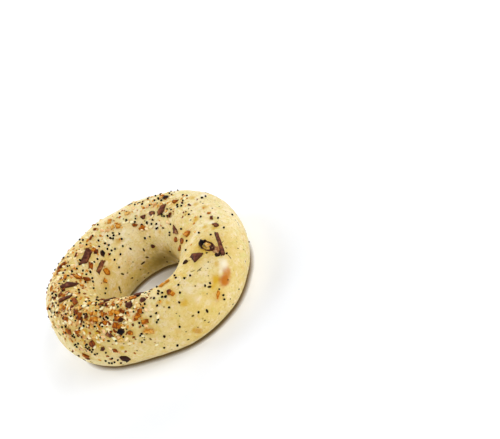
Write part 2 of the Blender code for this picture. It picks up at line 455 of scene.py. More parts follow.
@dataclass(frozen=True, kw_only=True)
class Finish:
    """What both kinds of finish have: a sheen, a fine grain, and light that goes some way in."""

    roughness: float
    ior: float = 1.47
    shine: float = 0.5
    grain_mm: float
    grain_height: float
    grain_strength: float = 0.6
    grain_detail: float = 2.0
    grain_harshness: float = 0.5
    glow: float = 0.0
    glow_depth: float = 0.6 * MM
    glow_spread: tuple[float, float, float] = (1.0, 0.5, 0.25)  # red light goes deepest

    def coat(
        self,
        shader: bpy.types.Node,
        place: bpy.types.NodeSocket,
        colour: bpy.types.NodeSocket,
        roughness: float | bpy.types.NodeSocket,
    ) -> None:
        """Gives a shader its colour, and all that the finish adds to it.

        Args:
            shader: The material's shader.
            place: The place on the object.
            colour: The colour.
            roughness: How rough it is, as a number or as a socket.
        """
        grain = add_node(
            shader.id_data,
            "ShaderNodeTexNoise",
            {
                "Vector": place,
                "Scale": per_metre(self.grain_mm),
                "Detail": self.grain_detail,
                "Roughness": self.grain_harshness,
            },
        )
        relief = add_node(
            shader.id_data,
            "ShaderNodeBump",
            {
                "Height": grain.outputs["Fac"],
                "Strength": self.grain_strength,
                "Distance": self.grain_height,
            },
        )
        set_inputs(
            shader,
            {
                "Base Color": colour,
                "Normal": relief.outputs["Normal"],
                "Roughness": roughness,
                "IOR": self.ior,
                "Specular IOR Level": self.shine,
                "Subsurface Weight": self.glow,
                "Subsurface Radius": self.glow_spread,
                "Subsurface Scale": self.glow_depth,
            },
        )


@dataclass(frozen=True, kw_only=True)
class BoiledCrust(Finish):
    """Wheat dough, boiled and then baked pale.

    Boiling sets the starch into a tight, smooth, slightly translucent skin with a satin sheen.
    Oil from the toppings stains it yellow, and bits under the skin show through as olive specks.
    Shade is painted into its colour on the wall of the hole and, as a deeper gold, where the near
    side turns down; highlight is painted into some of its pale, floury patches.
    """

    pale: str = "#f1dfa6"
    warm: str = "#e7cf83"
    # A deeper gold that is partly painted shade, where the near side turns down and on the wall of the hole
    gold_and_shade: str = "#d3b046"
    oil: str = "#d2a408"
    toast: str = "#bf6a00"
    # Flour, and painted highlight where the light falls most
    flour_and_highlight: str = "#f9f0da"
    # Painted shade on the wall of the hole
    hole_shade: str = "#8c7524"
    speck: str = "#6a4a1a"
    foot: str = "#efe0ae"
    roughness: float = 0.52
    roughness_spread: float = 0.08  # either way, with the clouds
    ior: float = 1.45
    shine: float = 0.16
    grain_mm: float = 0.6
    grain_height: float = 0.10 * MM
    grain_strength: float = 0.5
    grain_detail: float = 3.0
    grain_harshness: float = 0.6
    glow: float = 0.15
    glow_depth: float = 1.6 * MM
    glow_spread: tuple[float, float, float] = (1.0, 0.55, 0.22)
    cloud_mm: float = 15.0
    cloud_span: tuple[float, float] = (0.38, 0.66)  # of the clouds' noise, from pale to warm
    # Each size of mottling: its millimetres, where its noise starts and ends, how much, and its tint
    mottles: tuple[tuple[float, float, float, float, str], ...] = (
        (6.0, 0.53, 0.64, 0.55, "#dcd27c"),
        (4.6, 0.54, 0.66, 0.60, "#e5bd4e"),
        (3.1, 0.52, 0.62, 0.75, "#f8e8c8"),
        (2.3, 0.58, 0.68, 0.60, "#dba93c"),
        (1.7, 0.52, 0.64, 0.50, "#d6b95e"),
        (1.15, 0.52, 0.66, 0.42, "#fdf4d0"),
        (0.85, 0.55, 0.70, 0.32, "#b4934a"),
    )
    speck_cells_mm: tuple[float, float] = (1.5, 3.4)
    speck_reach: float = 0.20  # of a cell, for the largest
    speck_share: float = 0.32  # the share of cells that hold none
    speck_edge: float = 0.3  # of a speck's reach, over which it fades in
    speck_depth: float = 0.8  # how much of its colour comes through the skin
    foot_height: float = 4 * MM  # the paler foot ends here
    foot_share: float = 0.8

    def material(self) -> bpy.types.Material:
        """Makes the crust's material."""
        crust, tree, shader = new_material("boiled_crust")
        place = add_node(tree, "ShaderNodeTexCoord").outputs["Object"]

        clouds = add_node(
            tree, "ShaderNodeTexNoise", {"Vector": place, "Scale": per_metre(self.cloud_mm), "Detail": 3.0}
        )
        colour = add_node(
            tree,
            "ShaderNodeValToRGB",
            {"Fac": clouds.outputs["Fac"]},
            stops=tuple(zip(self.cloud_span, (self.pale, self.warm))),
        ).outputs["Color"]
        for size, low, high, most, tint in self.mottles:
            cloud = add_node(
                tree,
                "ShaderNodeTexNoise",
                {"Vector": place, "Scale": per_metre(size), "Detail": 4.0, "Roughness": 0.6},
            )
            amount = add_node(
                tree,
                "ShaderNodeMapRange",
                {"Value": cloud.outputs["Fac"], "From Min": low, "From Max": high, "To Max": most},
            )
            colour = tinted(tree, colour, amount.outputs["Result"], tint)
        for cell in self.speck_cells_mm:
            colour = tinted(tree, colour, self.specks(tree, place, cell), self.speck)
        # Stains and painted light: the deeper gold is partly painted shade, the shade on the hole's wall is
        # painted, and the pale patches are flour and painted highlight
        marks = (
            (Mark.GOLD_AND_SHADE, self.gold_and_shade),
            (Mark.HOLE_SHADE, self.hole_shade),
            (Mark.OIL, self.oil),
            (Mark.TOAST, self.toast),
            (Mark.FLOUR_AND_HIGHLIGHT, self.flour_and_highlight),
        )
        for mark, tint in marks:
            amount = add_node(tree, "ShaderNodeAttribute", attribute_name=mark.value)
            colour = tinted(tree, colour, amount.outputs["Fac"], tint)
        height = add_node(tree, "ShaderNodeSeparateXYZ", {"Vector": place})
        low_down = add_node(
            tree,
            "ShaderNodeMapRange",
            {
                "Value": height.outputs["Z"],
                "From Min": self.foot_height,
                "From Max": 0.0,
                "To Max": self.foot_share,
            },
        )
        colour = tinted(tree, colour, low_down.outputs["Result"], self.foot)

        sheen = add_node(
            tree,
            "ShaderNodeMapRange",
            {
                "Value": clouds.outputs["Fac"],
                "To Min": self.roughness - self.roughness_spread,
                "To Max": self.roughness + self.roughness_spread,
            },
        )
        self.coat(shader, place, colour, sheen.outputs["Result"])
        return crust

    def specks(
        self, tree: bpy.types.NodeTree, place: bpy.types.NodeSocket, cell_mm: float
    ) -> bpy.types.NodeSocket:
        """How much of a speck under the skin shows: in some cells, of a size that varies."""
        cells = add_node(tree, "ShaderNodeTexVoronoi", {"Vector": place, "Scale": per_metre(cell_mm)})
        chance = add_node(tree, "ShaderNodeSeparateColor", {"Color": cells.outputs["Color"]})
        reach = add_node(
            tree,
            "ShaderNodeMapRange",
            {"Value": chance.outputs["Red"], "From Min": self.speck_share, "To Max": self.speck_reach},
        )
        inside = add_node(
            tree,
            "ShaderNodeMath",
            {0: reach.outputs["Result"], 1: cells.outputs["Distance"]},
            operation="SUBTRACT",
        )
        shown = add_node(
            tree,
            "ShaderNodeMapRange",
            {
                "Value": inside.outputs["Value"],
                "From Max": self.speck_edge * self.speck_reach,
                "To Max": self.speck_depth,
            },
        )
        return shown.outputs["Result"]


@dataclass(frozen=True, kw_only=True)
class ToppingFinish(Finish):
    """The finish of one kind of topping, whose pieces run through a range of tones.

    `stops` are the colours from tone 0 to tone 1. The rim of a piece is darker, because thin
    edges toast first.
    """

    name: str
    stops: tuple[tuple[float, str], ...]
    mottle_mm: float
    mottle: float
    mottle_span: tuple[float, float] = (0.3, 0.7)  # of its noise, from lightest to darkest
    rim: str

    def material(self) -> bpy.types.Material:
        """Makes the topping's material."""
        finish, tree, shader = new_material(self.name)
        place = add_node(tree, "ShaderNodeTexCoord").outputs["Object"]
        tone = add_node(tree, "ShaderNodeAttribute", attribute_name="tone")
        rim = add_node(tree, "ShaderNodeAttribute", attribute_name="rim")
        mottle = add_node(
            tree,
            "ShaderNodeTexNoise",
            {"Vector": place, "Scale": per_metre(self.mottle_mm), "Detail": 2.0},
        )
        stray = add_node(
            tree,
            "ShaderNodeMapRange",
            {
                "Value": mottle.outputs["Fac"],
                "From Min": self.mottle_span[0],
                "From Max": self.mottle_span[1],
                "To Min": -self.mottle,
                "To Max": self.mottle,
            },
        )
        mixed = add_node(
            tree, "ShaderNodeMath", {0: tone.outputs["Fac"], 1: stray.outputs["Result"]}, operation="ADD"
        )
        ramp = add_node(tree, "ShaderNodeValToRGB", {"Fac": mixed.outputs["Value"]}, stops=self.stops)
        colour = tinted(tree, ramp.outputs["Color"], rim.outputs["Fac"], self.rim)
        self.coat(shader, place, colour, self.roughness)
        return finish


# Blue poppy seed: a hard, netted seed coat, baked to black, with hardly any shine.
POPPY_COAT = ToppingFinish(
    name="poppy_seed_coat",
    stops=((0.0, "#0f0500"), (0.6, "#1a0a00"), (1.0, "#2e1806")),
    roughness=0.7,
    mottle_mm=0.4,
    mottle=0.1,
    rim="#0d0500",
    grain_mm=0.2,
    grain_height=0.03 * MM,
    shine=0.05,
)
# Hulled white sesame: an oily, faintly translucent seed, cream, toasted to gold here and there.
SESAME_FLESH = ToppingFinish(
    name="sesame_flesh",
    stops=((0.0, "#fff6c6"), (0.45, "#ffe6ac"), (0.75, "#fbcb92"), (1.0, "#d2934a")),
    roughness=0.42,
    mottle_mm=1.2,
    mottle=0.12,
    rim="#c07f35",
    grain_mm=0.3,
    grain_height=0.02 * MM,
    glow=0.1,
    shine=0.25,
)
# Dried garlic, toasted: glassy, brittle bits, from gold through amber to dark brown.
TOASTED_GARLIC = ToppingFinish(
    name="toasted_garlic",
    stops=(
        (0.0, "#f0cc80"),
        (0.2, "#e2a23c"),
        (0.42, "#ca7a16"),
        (0.62, "#a4520b"),
        (0.82, "#6c2e08"),
        (1.0, "#371709"),
    ),
    roughness=0.5,
    mottle_mm=1.0,
    mottle=0.2,
    rim="#7a3f08",
    grain_mm=0.4,
    grain_height=0.05 * MM,
    glow=0.05,
    shine=0.1,
)
# Dried onion, charred: thin, leathery flakes, tan where still translucent, else purple to black.
CHARRED_ONION = ToppingFinish(
    name="charred_onion",
    stops=(
        (0.0, "#caa678"),
        (0.12, "#a87342"),
        (0.25, "#874c2e"),
        (0.38, "#683c2e"),
        (0.5, "#522819"),
        (0.65, "#3b1a0d"),
        (0.8, "#25100a"),
        (1.0, "#0d0c0e"),
    ),
    roughness=0.55,
    mottle_mm=1.6,
    mottle=0.13,
    rim="#4a2a10",
    grain_mm=0.5,
    grain_height=0.08 * MM,
    shine=0.1,
)
# Seeds and onion that the dough has closed over: dull olive brown through the skin. The same finish draws
# the dark lines painted as the shade in folds and cracks of the skin.
SUNKEN_BITS_AND_CREASE_SHADE = ToppingFinish(
    name="sunken_bits_and_crease_shade",
    stops=((0.0, "#8a7230"), (0.5, "#553d0c"), (1.0, "#271602")),
    roughness=0.55,
    mottle_mm=0.8,
    mottle=0.2,
    rim="#8a7230",
    grain_mm=0.4,
    grain_height=0.02 * MM,
    shine=0.1,
)


# ---------------------------------------------------------------------------------------------
# Toppings


@dataclass(frozen=True)
class Bed:
    """Where a topping presses into the dough: its middle, its half length, and what seeps out."""

    point: Vector
    reach: float
    oil: float


class Heap:
    """Pieces of one kind, gathered into one mesh, each with a tone of its own."""

    sharp_angle: float = 55  # edges that turn more than this stay sharp

    def __init__(self, name: str, finish: ToppingFinish) -> None:
        """Starts an empty heap.

        Args:
            name: The name of the finished piece.
            finish: What its pieces are made of.
        """
        self.name = name
        self.finish = finish
        self.mesh = bmesh.new()
        float_layer(self.mesh, "tone")
        float_layer(self.mesh, "rim")
        self.count = 0
        self.beds: list[Bed] = []

    def add(self, piece: bmesh.types.BMesh, place: Matrix, tone: float) -> None:
        """Lays a piece in its place and takes it in.

        Args:
            piece: A shape at its true size about its own middle, which is used up.
            place: Its frame in the model.
            tone: Where it lies in the finish's range of tones, added to what it has.
        """
        tones = float_layer(piece, "tone")
        for vertex in piece.verts:
            vertex[tones] += tone
        bmesh.ops.transform(piece, matrix=place, verts=piece.verts)
        bmesh.ops.recalc_face_normals(piece, faces=piece.faces)
        data = bpy.data.meshes.new(self.name)
        piece.to_mesh(data)
        piece.free()
        self.mesh.from_mesh(data)
        bpy.data.meshes.remove(data)
        self.count += 1

    def press_in(
        self, piece: bmesh.types.BMesh, place: Matrix, tone: float, length: float, oil: float
    ) -> None:
        """Takes a piece in as `add` does, and notes the bed that it makes in the dough.

        Args:
            piece: The piece, which is used up.
            place: Its frame in the model.
            tone: Its tone.
            length: Its length.
            oil: How strongly its oil stains the dough.
        """
        self.add(piece, place, tone)
        self.beds.append(Bed(place.translation, length / 2, oil))

    def build(self) -> bpy.types.Object:
        """Makes the heap one piece that rides with the bagel."""
        made = new_object(self.name, self.mesh, self.finish.material())
        self.mesh.free()
        made.data.shade_smooth()
        made.data.set_sharp_from_angle(angle=math.radians(self.sharp_angle))
        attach(made, BODY)
        log.info("%s: %d pieces, %d faces", self.name, self.count, len(made.data.polygons))
        return made


# The forms of a broken chunk, as shares of its size
FOOT_RADIUS, TOP_RADIUS = 0.55, 0.5
STRIP_SLIMNESS = 0.3  # a chunk that is slimmer than this is a strip,
STRIP_END, STRIP_END_STRAY = 0.6, 0.3  # whose ends stand out evenly
CORNER_STRAY = 0.18


def chunk(
    sides: int, sizes: tuple[float, float, float], crags: random.Random, crag: float = CORNER_STRAY
) -> bmesh.types.BMesh:
    """A broken piece with its corners out of true.

    Args:
        sides: How many sides it has, seen from above.
        sizes: Its length, width and thickness.
        crags: The draw that moves its corners.
        crag: How far a corner strays, as a share of the piece.

    Returns:
        The bare faceted piece, as the solid has it.
    """
    piece = bmesh.new()
    if sides == 4:
        bmesh.ops.create_cube(piece, size=1)
    else:
        bmesh.ops.create_cone(
            piece, segments=sides, cap_ends=True, radius1=FOOT_RADIUS, radius2=TOP_RADIUS, depth=1
        )
    for vertex in piece.verts:
        vertex.co += crag * Vector([crags.uniform(-1, 1) for _ in range(3)])
        if sizes[1] < STRIP_SLIMNESS * sizes[0]:
            end = STRIP_END + STRIP_END_STRAY * (abs(vertex.co.x) - 0.5)
            vertex.co.x = math.copysign(end, vertex.co.x)
    bmesh.ops.scale(piece, vec=sizes, verts=piece.verts)
    return piece


@dataclass(frozen=True)
class Weathering:
    """How drying and baking have worn a broken piece: its rim thin and ragged, its faces folded, with shade
    painted darker into the bottoms of the folds.
    """

    level: float = 0.7  # a face that looks up or down more squarely than this gets a middle point
    edge: float = 0.6 * MM  # the length that a cut edge comes down to
    most_cuts: int = 6
    apart: float = 3.7  # how far apart two pieces lie in the noise
    thinning: float = 0.45  # how much thinner the rim is than the middle
    rim_start: float = 0.7  # of the way from the middle to the edge
    rim: float = 0.7
    fold: float = 0.25 * MM
    fold_length: float = 1.6 * MM
    fold_shade: float = 0.3  # painted shade: how much darker the bottom of a fold is than its top
    ragged: float = 0.38 * MM
    ragged_length: float = 1.5 * MM
    ragged_middle: float = 0.35  # how much of its raggedness a piece has at its middle
    nicked: float = 0.16 * MM
    nicked_length: float = 0.6 * MM

    def wear(self, piece: bmesh.types.BMesh, sizes: tuple[float, float, float], seed: float) -> None:
        """Wears a broken piece.

        Args:
            piece: The piece at its true size.
            sizes: Its length, width and thickness.
            seed: A number of its own, so that no two pieces are alike.
        """
        rims = float_layer(piece, "rim")
        tones = float_layer(piece, "tone")
        for vertex in piece.verts:
            vertex[rims] = 1.0
        piece.normal_update()
        flat = [face for face in piece.faces if abs(face.normal.z) > self.level]
        for middle in bmesh.ops.poke(piece, faces=flat)["verts"]:
            middle[rims] = 0.0
        bmesh.ops.triangulate(piece, faces=piece.faces)
        cuts = min(self.most_cuts, round(sizes[0] / 2 / self.edge) - 1)
        if cuts > 0:
            bmesh.ops.subdivide_edges(piece, edges=piece.edges[:], cuts=cuts, use_grid_fill=True)
        here = Vector((0.0, 0.0, self.apart * seed))
        for vertex in piece.verts:
            flat_place = Vector((vertex.co.x, vertex.co.y, 0.0))
            to_rim = max(0.0, (vertex[rims] - self.rim_start) / (1 - self.rim_start))
            torn = noise.noise_vector(flat_place / self.ragged_length + here)
            nicks = noise.noise_vector(flat_place / self.nicked_length + here)
            folded = noise.noise(flat_place / self.fold_length + here)
            loose = self.ragged_middle + (1 - self.ragged_middle) * vertex[rims]
            vertex.co.z *= 1 - self.thinning * to_rim**2
            vertex.co += Vector((torn.x, torn.y, 0)) * self.ragged * loose
            vertex.co += Vector((nicks.x, nicks.y, 0)) * self.nicked * to_rim
            vertex.co.z += self.fold * folded
            # Painted shade: the bottom of a fold is darker than its top
            vertex[tones] = -self.fold_shade * folded
            vertex[rims] = self.rim * to_rim**2


FLAKE_WEAR = Weathering()
LOW_WEAR = Weathering(rim=0.12, fold_shade=0.15, ragged=0.25 * MM)
BIT_WEAR = Weathering(
    most_cuts=1,
    rim_start=0.5,
    rim=0.35,
    fold=0.08 * MM,
    fold_length=0.9 * MM,
    ragged=0.16 * MM,
    ragged_length=0.8 * MM,
    nicked=0.08 * MM,
)


@dataclass(frozen=True)
class Flake:
    """A flake of onion or garlic that shows from a step away. At `turn` 0 it lies along the ring."""

    around: float
    over: float
    length: float
    width: float
    turn: float
    tone: float
    sides: int = 5


@dataclass(frozen=True)
class Seen:
    """A topping laid at the pixel of the photograph that shows its middle.

    `turn` is how its length lies in the photograph, counted from right to up.
    """

    x: float
    y: float
    length: float
    tone: float
    turn: float
    slimness: float  # width, as a share of the length


@dataclass(frozen=True)
class Ground:
    """What toppings are laid on."""

    ring: Ring  # the dough's form
    surface: Surface  # the bare dough, as the camera sees it
    flakes: tuple[Flake, ...]  # the large flakes, which strewn toppings stay clear of

    def under(self, seen: Seen, lift: float) -> Matrix:
        """The frame of a topping laid one by one, whose middle stands this far off the dough."""
        return self.surface.under(seen.x, seen.y, seen.turn, lift)


@dataclass
class Flakes:
    """The larger flakes of one kind: the solid's, and more that lie low in the skin."""

    name: str
    draw: str  # what seeds the draw of their broken corners
    finish: ToppingFinish
    flakes: tuple[Flake, ...]
    seen: tuple[Seen, ...] = ()
    oil: float = 0.4
    thickness: float = 1.6 * MM
    low_thickness: float = 0.9 * MM
    low_sink: float = 0.18 * MM  # how far below the skin the middle of a low flake lies
    low_sides: int = 6
    low_stray: float = 0.1  # of a low flake's corners
    wear: Weathering = FLAKE_WEAR
    low_wear: Weathering = LOW_WEAR

    def build(self, ground: Ground) -> Heap:
        """Lays the flakes.

        Args:
            ground: What they lie on.

        Returns:
            The heap of flakes.
        """
        crags = random.Random(self.draw)
        heap = Heap(self.name, self.finish)
        for number, flake in enumerate(self.flakes):
            sizes = (flake.length, flake.width, self.thickness)
            piece = chunk(flake.sides, sizes, crags)
            self.wear.wear(piece, sizes, number)
            place = ground.ring.resting_place(flake.around, flake.over, flake.turn)
            heap.press_in(piece, place, flake.tone, flake.length, self.oil)
        for number, flake in enumerate(self.seen, len(self.flakes)):
            sizes = (flake.length, flake.length * flake.slimness, self.low_thickness)
            piece = chunk(self.low_sides, sizes, crags, self.low_stray)
            self.low_wear.wear(piece, sizes, number)
            place = ground.under(flake, -self.low_sink)
            heap.press_in(piece, place, flake.tone, flake.length, self.oil)
        return heap


@dataclass(frozen=True)
class Patch:
    """A soft-edged patch of the dough, and how thickly the toppings lie at its middle."""

    around: float
    over: float
    around_spread: float
    over_spread: float
    strength: float


PATCHES = (
    Patch(200, 58, 28, 36, 0.90),
    Patch(160, 98, 26, 28, 0.80),
    Patch(228, 62, 13, 26, 0.50),
    Patch(247, 96, 18, 15, 0.50),
    Patch(122, 118, 22, 24, 0.40),
    Patch(84, 92, 34, 26, 0.22),
    Patch(46, 98, 20, 28, 0.42),
    Patch(350, 88, 30, 32, 0.12),
)


LEAST_STRENGTH = 0.3  # of the patches, where a piece that is in the solid lies


def strewn_strength(around: float, over: float) -> float:
    """How thickly the toppings lie here: 1 is as thick as they come."""
    strength = 0.0
    for patch in PATCHES:
        off_around = ((around - patch.around + 180) % 360 - 180) / patch.around_spread
        off_over = (over - patch.over) / patch.over_spread
        strength += patch.strength * math.exp(-(off_around**2 + off_over**2) / 2)
    return strength


@dataclass(frozen=True)
class Scatter:
    """One kind of small topping, strewn over the dough: the `fused` largest are in the solid.

    What the camera sees of the rest is thinned to the share `shown`, because there most toppings
    are laid one by one. Round the far side, which few toppings reached, the share `hidden` is kept.
    """

    fused: int
    count: int
    longest: float
    shortest: float
    slimness: float  # width, as a share of the length
    flatness: float  # thickness, as a share of the length
    lift: float
    gap: float
    focus: float  # how closely it keeps to the thick of the patches
    bare: float  # how thickly it lies where no patch reaches
    seed: int
    shown: float = 1.0
    hidden: float = 0.45
    sparse: float = 0.2  # below this strength, nothing more is strewn where the camera sees it
    squarely: float = 0.6  # what the camera sees at a greater slant than this is thinned further
    lowest_over: float = -32
    highest_over: float = 165
    flake_shade: float = 0.45  # nothing is strewn on a flake, out to this share of its length

    def sizes(self, length: float) -> tuple[float, float, float]:
        """The length, width and thickness of a piece of this length."""
        return length, length * self.slimness, length * self.flatness

    def places(self, ground: Ground) -> Iterator[tuple[Matrix, float]]:
        """Yields each piece's place and length, the largest first.

        Args:
            ground: What the pieces are strewn on.

        Yields:
            The frame of a piece, and its length.
        """
        ring = ground.ring
        draw = random.Random(self.seed)
        thinned = random.Random(f"thinned {self.seed}")
        widest = ring.radius + ring.half_width
        shaded = [
            (ring.point(flake.around, flake.over), self.flake_shade * flake.length)
            for flake in ground.flakes
        ]
        laid: list[Vector] = []
        while len(laid) < self.count:
            around = draw.uniform(0, 360)
            over = draw.uniform(self.lowest_over, self.highest_over)
            turn = draw.uniform(0, 360)
            chance = draw.random()
            point = ring.point(around, over)
            strength = strewn_strength(around, over)
            share_of_area = (point - ring.centre).xy.length / widest
            if chance > (self.bare + strength**self.focus) * share_of_area:
                continue
            if len(laid) < self.fused and strength < LEAST_STRENGTH:
                continue
            if any((point - middle).length < reach for middle, reach in shaded):
                continue
            if any((point - other).length < self.gap for other in laid):
                continue
            number = len(laid)
            laid.append(point)
            place = ring.resting_place(around, over, turn, self.lift)
            if number >= self.fused:
                facing = ground.surface.facing(place)
                kept = self.shown * min(1.0, facing / self.squarely) if facing else self.hidden
                if thinned.random() > kept or (facing and strength < self.sparse):
                    continue
            yield place, self.longest + (self.shortest - self.longest) * number / self.count


@dataclass
class GarlicBits:
    """Broken bits of toasted garlic and onion."""

    scatter: Scatter
    seen: tuple[Seen, ...] = ()
    sides: int = 4
    flatness: float = 0.48  # of a bit laid one by one: its thickness, as a share of its length
    lift: float = 0.1  # of a bit laid one by one, as a share of its length
    paleness: float = 2.2  # the higher this is, the more of the strewn bits are pale
    oil: float = 0.45
    wear: Weathering = BIT_WEAR

    def build(self, ground: Ground) -> Heap:
        """Lays the bits.

        Args:
            ground: What they lie on.

        Returns:
            The heap of bits.
        """
        heap = Heap("garlic_bits", TOASTED_GARLIC)
        crags = random.Random(self.scatter.seed)
        tones = random.Random("garlic tones")
        for number, (place, length) in enumerate(self.scatter.places(ground)):
            sizes = self.scatter.sizes(length)
            piece = chunk(self.sides, sizes, crags)
            self.wear.wear(piece, sizes, number)
            tone = tones.random() ** self.paleness
            heap.press_in(piece, place, tone, length, self.oil * tones.random())
        for number, bit in enumerate(self.seen, self.scatter.count):
            sizes = (bit.length, bit.length * bit.slimness, bit.length * self.flatness)
            piece = chunk(self.sides, sizes, crags)
            self.wear.wear(piece, sizes, number)
            heap.press_in(piece, ground.under(bit, self.lift * bit.length), bit.tone, bit.length, self.oil)
        return heap


# The shapes of seeds, as shares of their size
DENT_DEPTH, DENT_WIDTH = 0.16, 0.2  # of a kidney
NARROWING, NARROWING_POWER = 0.5, 1.6  # of a teardrop's width, and how late it narrows
THINNING = 0.4  # how much of the narrowing its thickness takes
TIP_LENGTH, TIP_SHADE = 0.25, 0.5  # of its darker tip


class SeedShape(Enum):
    """The shapes of seed, and of what the skin has closed over."""

    KIDNEY = "kidney"
    TEARDROP = "teardrop"
    FLECK = "fleck"

    def grain(self, sizes: tuple[float, float, float]) -> bmesh.types.BMesh:
        """Makes a seed of this shape.

        Args:
            sizes: Its length, width and thickness.

        Returns:
            The seed about its own middle.
        """
        piece = bmesh.new()
        bmesh.ops.create_icosphere(piece, subdivisions=2, radius=0.5)
        rims = float_layer(piece, "rim")
        for vertex in piece.verts:
            if self is SeedShape.KIDNEY:
                dent = DENT_DEPTH * math.exp(-((vertex.co.x / DENT_WIDTH) ** 2))
                vertex.co.y -= dent * max(0.0, vertex.co.y / 0.5)
            elif self is SeedShape.TEARDROP:
                narrowed = 1 - NARROWING * (vertex.co.x + 0.5) ** NARROWING_POWER
                vertex.co.y *= narrowed
                vertex.co.z *= 1 - THINNING + THINNING * narrowed
                vertex[rims] = TIP_SHADE * max(0.0, (vertex.co.x - 0.5 + TIP_LENGTH) / TIP_LENGTH)
        bmesh.ops.scale(piece, vec=sizes, verts=piece.verts)
        return piece


@dataclass
class Seeds:
    """Seeds of one kind: those that the rule strews, and those laid one by one."""

    name: str
    finish: ToppingFinish
    shape: SeedShape
    scatter: Scatter
    seen: tuple[Seen, ...] = ()
    stray: float = 0.12  # how far a seed's size strays from the rule's
    tilt: float = 18  # how far a seed may stand on end
    seen_lift: float = 0.0  # how much higher than the rest those laid one by one lie
    paleness: float = 1.5  # the higher this is, the more of the strewn seeds are pale

    def tilted(self, place: Matrix, draw: random.Random) -> Matrix:
        """A seed's frame, tilted a little on end."""
        return place @ Matrix.Rotation(math.radians(draw.uniform(-self.tilt, self.tilt)), 4, "Y")

    def build(self, ground: Ground) -> Heap:
        """Lays the seeds.

        Args:
            ground: What they lie on.

        Returns:
            The heap of seeds.
        """
        heap = Heap(self.name, self.finish)
        draw = random.Random(f"{self.name} tones")
        for place, usual_length in self.scatter.places(ground):
            length = usual_length * (1 + self.stray * draw.uniform(-1, 1))
            place = self.tilted(place, draw)
            tone = draw.random() ** self.paleness
            heap.press_in(self.shape.grain(self.scatter.sizes(length)), place, tone, length, 0.0)
        for seed in self.seen:
            place = self.tilted(ground.under(seed, self.scatter.lift + self.seen_lift), draw)
            sizes = (seed.length, seed.length * seed.slimness, seed.length * self.scatter.flatness)
            heap.press_in(self.shape.grain(sizes), place, seed.tone, seed.length, 0.0)
        return heap


@dataclass
class OnionCurl:
    """The curled ring of charred onion at the thick end, where the solid has a plain ring.

    It is thick and dark at its left, and thin and brown along its other sides.
    """

    x: float = 207.6
    y: float = 246.6
    turn: float = -27
    length: float = 9.6 * MM
    width: float = 6.2 * MM
    wall: float = 0.75 * MM  # the half thickness of its rim on average
    steps: int = 60
    section_steps: int = 10
    lift: float = 0.55 * MM
    teeth: int = 9  # round the whole ring; they show along its thick side
    tooth: float = 0.35  # of the wall
    left_height: float = 0.4  # how much higher than it is wide the rim is at the left
    # How thick the rim is, as a share of the wall, and how dark: in all, and what the left, the
    # far side and the near side add
    thick: tuple[float, float, float, float] = (0.7, 0.95, -0.1, -0.25)
    dark: tuple[float, float, float, float] = (0.66, 0.3, -0.2, -0.25)
    crumple: float = 0.4 * MM
    crumple_length: float = 1.2 * MM
    oil: float = 0.7

    def add_to(self, heap: Heap, ground: Ground) -> None:
        """Lays the curl.

        Args:
            heap: The charred onion that it belongs to.
            ground: What it lies on.
        """
        radius = self.length / 2 - self.wall
        piece = turned_ring(radius, self.wall, self.steps, self.section_steps)
        tones = float_layer(piece, "tone")
        for vertex in piece.verts:
            around = math.atan2(vertex.co.y, vertex.co.x)
            middle = Vector((math.cos(around), math.sin(around), 0)) * radius
            left = max(0.0, -math.cos(around))
            far = max(0.0, math.sin(around))
            near = max(0.0, -math.sin(around)) * (1 - left)
            share = self.blend(self.thick, left**2, far**2, near)
            share += self.tooth * left * math.sin(self.teeth * around)
            off = (vertex.co - middle) * share
            off.z *= 1.0 + self.left_height * left
            vertex.co = middle + off
            vertex.co.y *= (self.width / 2 - self.wall) / radius
            vertex.co += self.crumple * noise.noise_vector(vertex.co / self.crumple_length)
            vertex[tones] = self.blend(self.dark, left, far, near)
        place = ground.surface.under(self.x, self.y, self.turn, self.lift)
        heap.press_in(piece, place, 0.0, self.length, self.oil)

    @staticmethod
    def blend(shares: tuple[float, float, float, float], left: float, far: float, near: float) -> float:
        """The first share, and as much of the others as this place is left, far or near."""
        return shares[0] + shares[1] * left + shares[2] * far + shares[3] * near


@dataclass
class SunkenFlecksAndCreaseShade:
    """Bits and seeds that the dough has closed over, of which only a cap comes through the skin, and dark
    lines painted as the shade in folds and cracks of the skin.
    """

    seen: tuple[Seen, ...]
    count: int = 260
    longest: float = 2.4 * MM
    shortest: float = 0.7 * MM
    thickness: float = 0.45 * MM
    sink: float = 0.06 * MM
    slimness: tuple[float, float] = (0.35, 0.9)
    smallness: float = 2.5  # the higher this is, the more of the strewn flecks are small
    over: tuple[float, float] = (-35, 215)  # the angles that they are strewn between
    seed: int = 53

    def build(self, ground: Ground, skin: Surface) -> Heap:
        """Lays the flecks: those laid one by one, and others where the camera doesn't see them.

        Args:
            ground: The bare dough, whose ring the strewn ones are placed on.
            skin: The finished skin.

        Returns:
            The heap of flecks.
        """
        heap = Heap("sunken_flecks_and_crease_shade", SUNKEN_BITS_AND_CREASE_SHADE)
        draw = random.Random(self.seed)
        for fleck in self.seen:
            place = skin.under(fleck.x, fleck.y, fleck.turn, -self.sink)
            sizes = (fleck.length, fleck.length * fleck.slimness, self.thickness)
            heap.add(SeedShape.FLECK.grain(sizes), place, fleck.tone)
        for _ in range(self.count):
            around, over, turn = draw.uniform(0, 360), draw.uniform(*self.over), draw.uniform(0, 360)
            length = self.shortest + (self.longest - self.shortest) * draw.random() ** self.smallness
            slimness = draw.uniform(*self.slimness)
            tone = draw.random()
            place = ground.ring.resting_place(around, over, turn)
            if skin.facing(place) > 0:
                continue
            sizes = (length, length * slimness, self.thickness)
            heap.add(SeedShape.FLECK.grain(sizes), skin.settled(place, -self.sink), tone)
        return heap


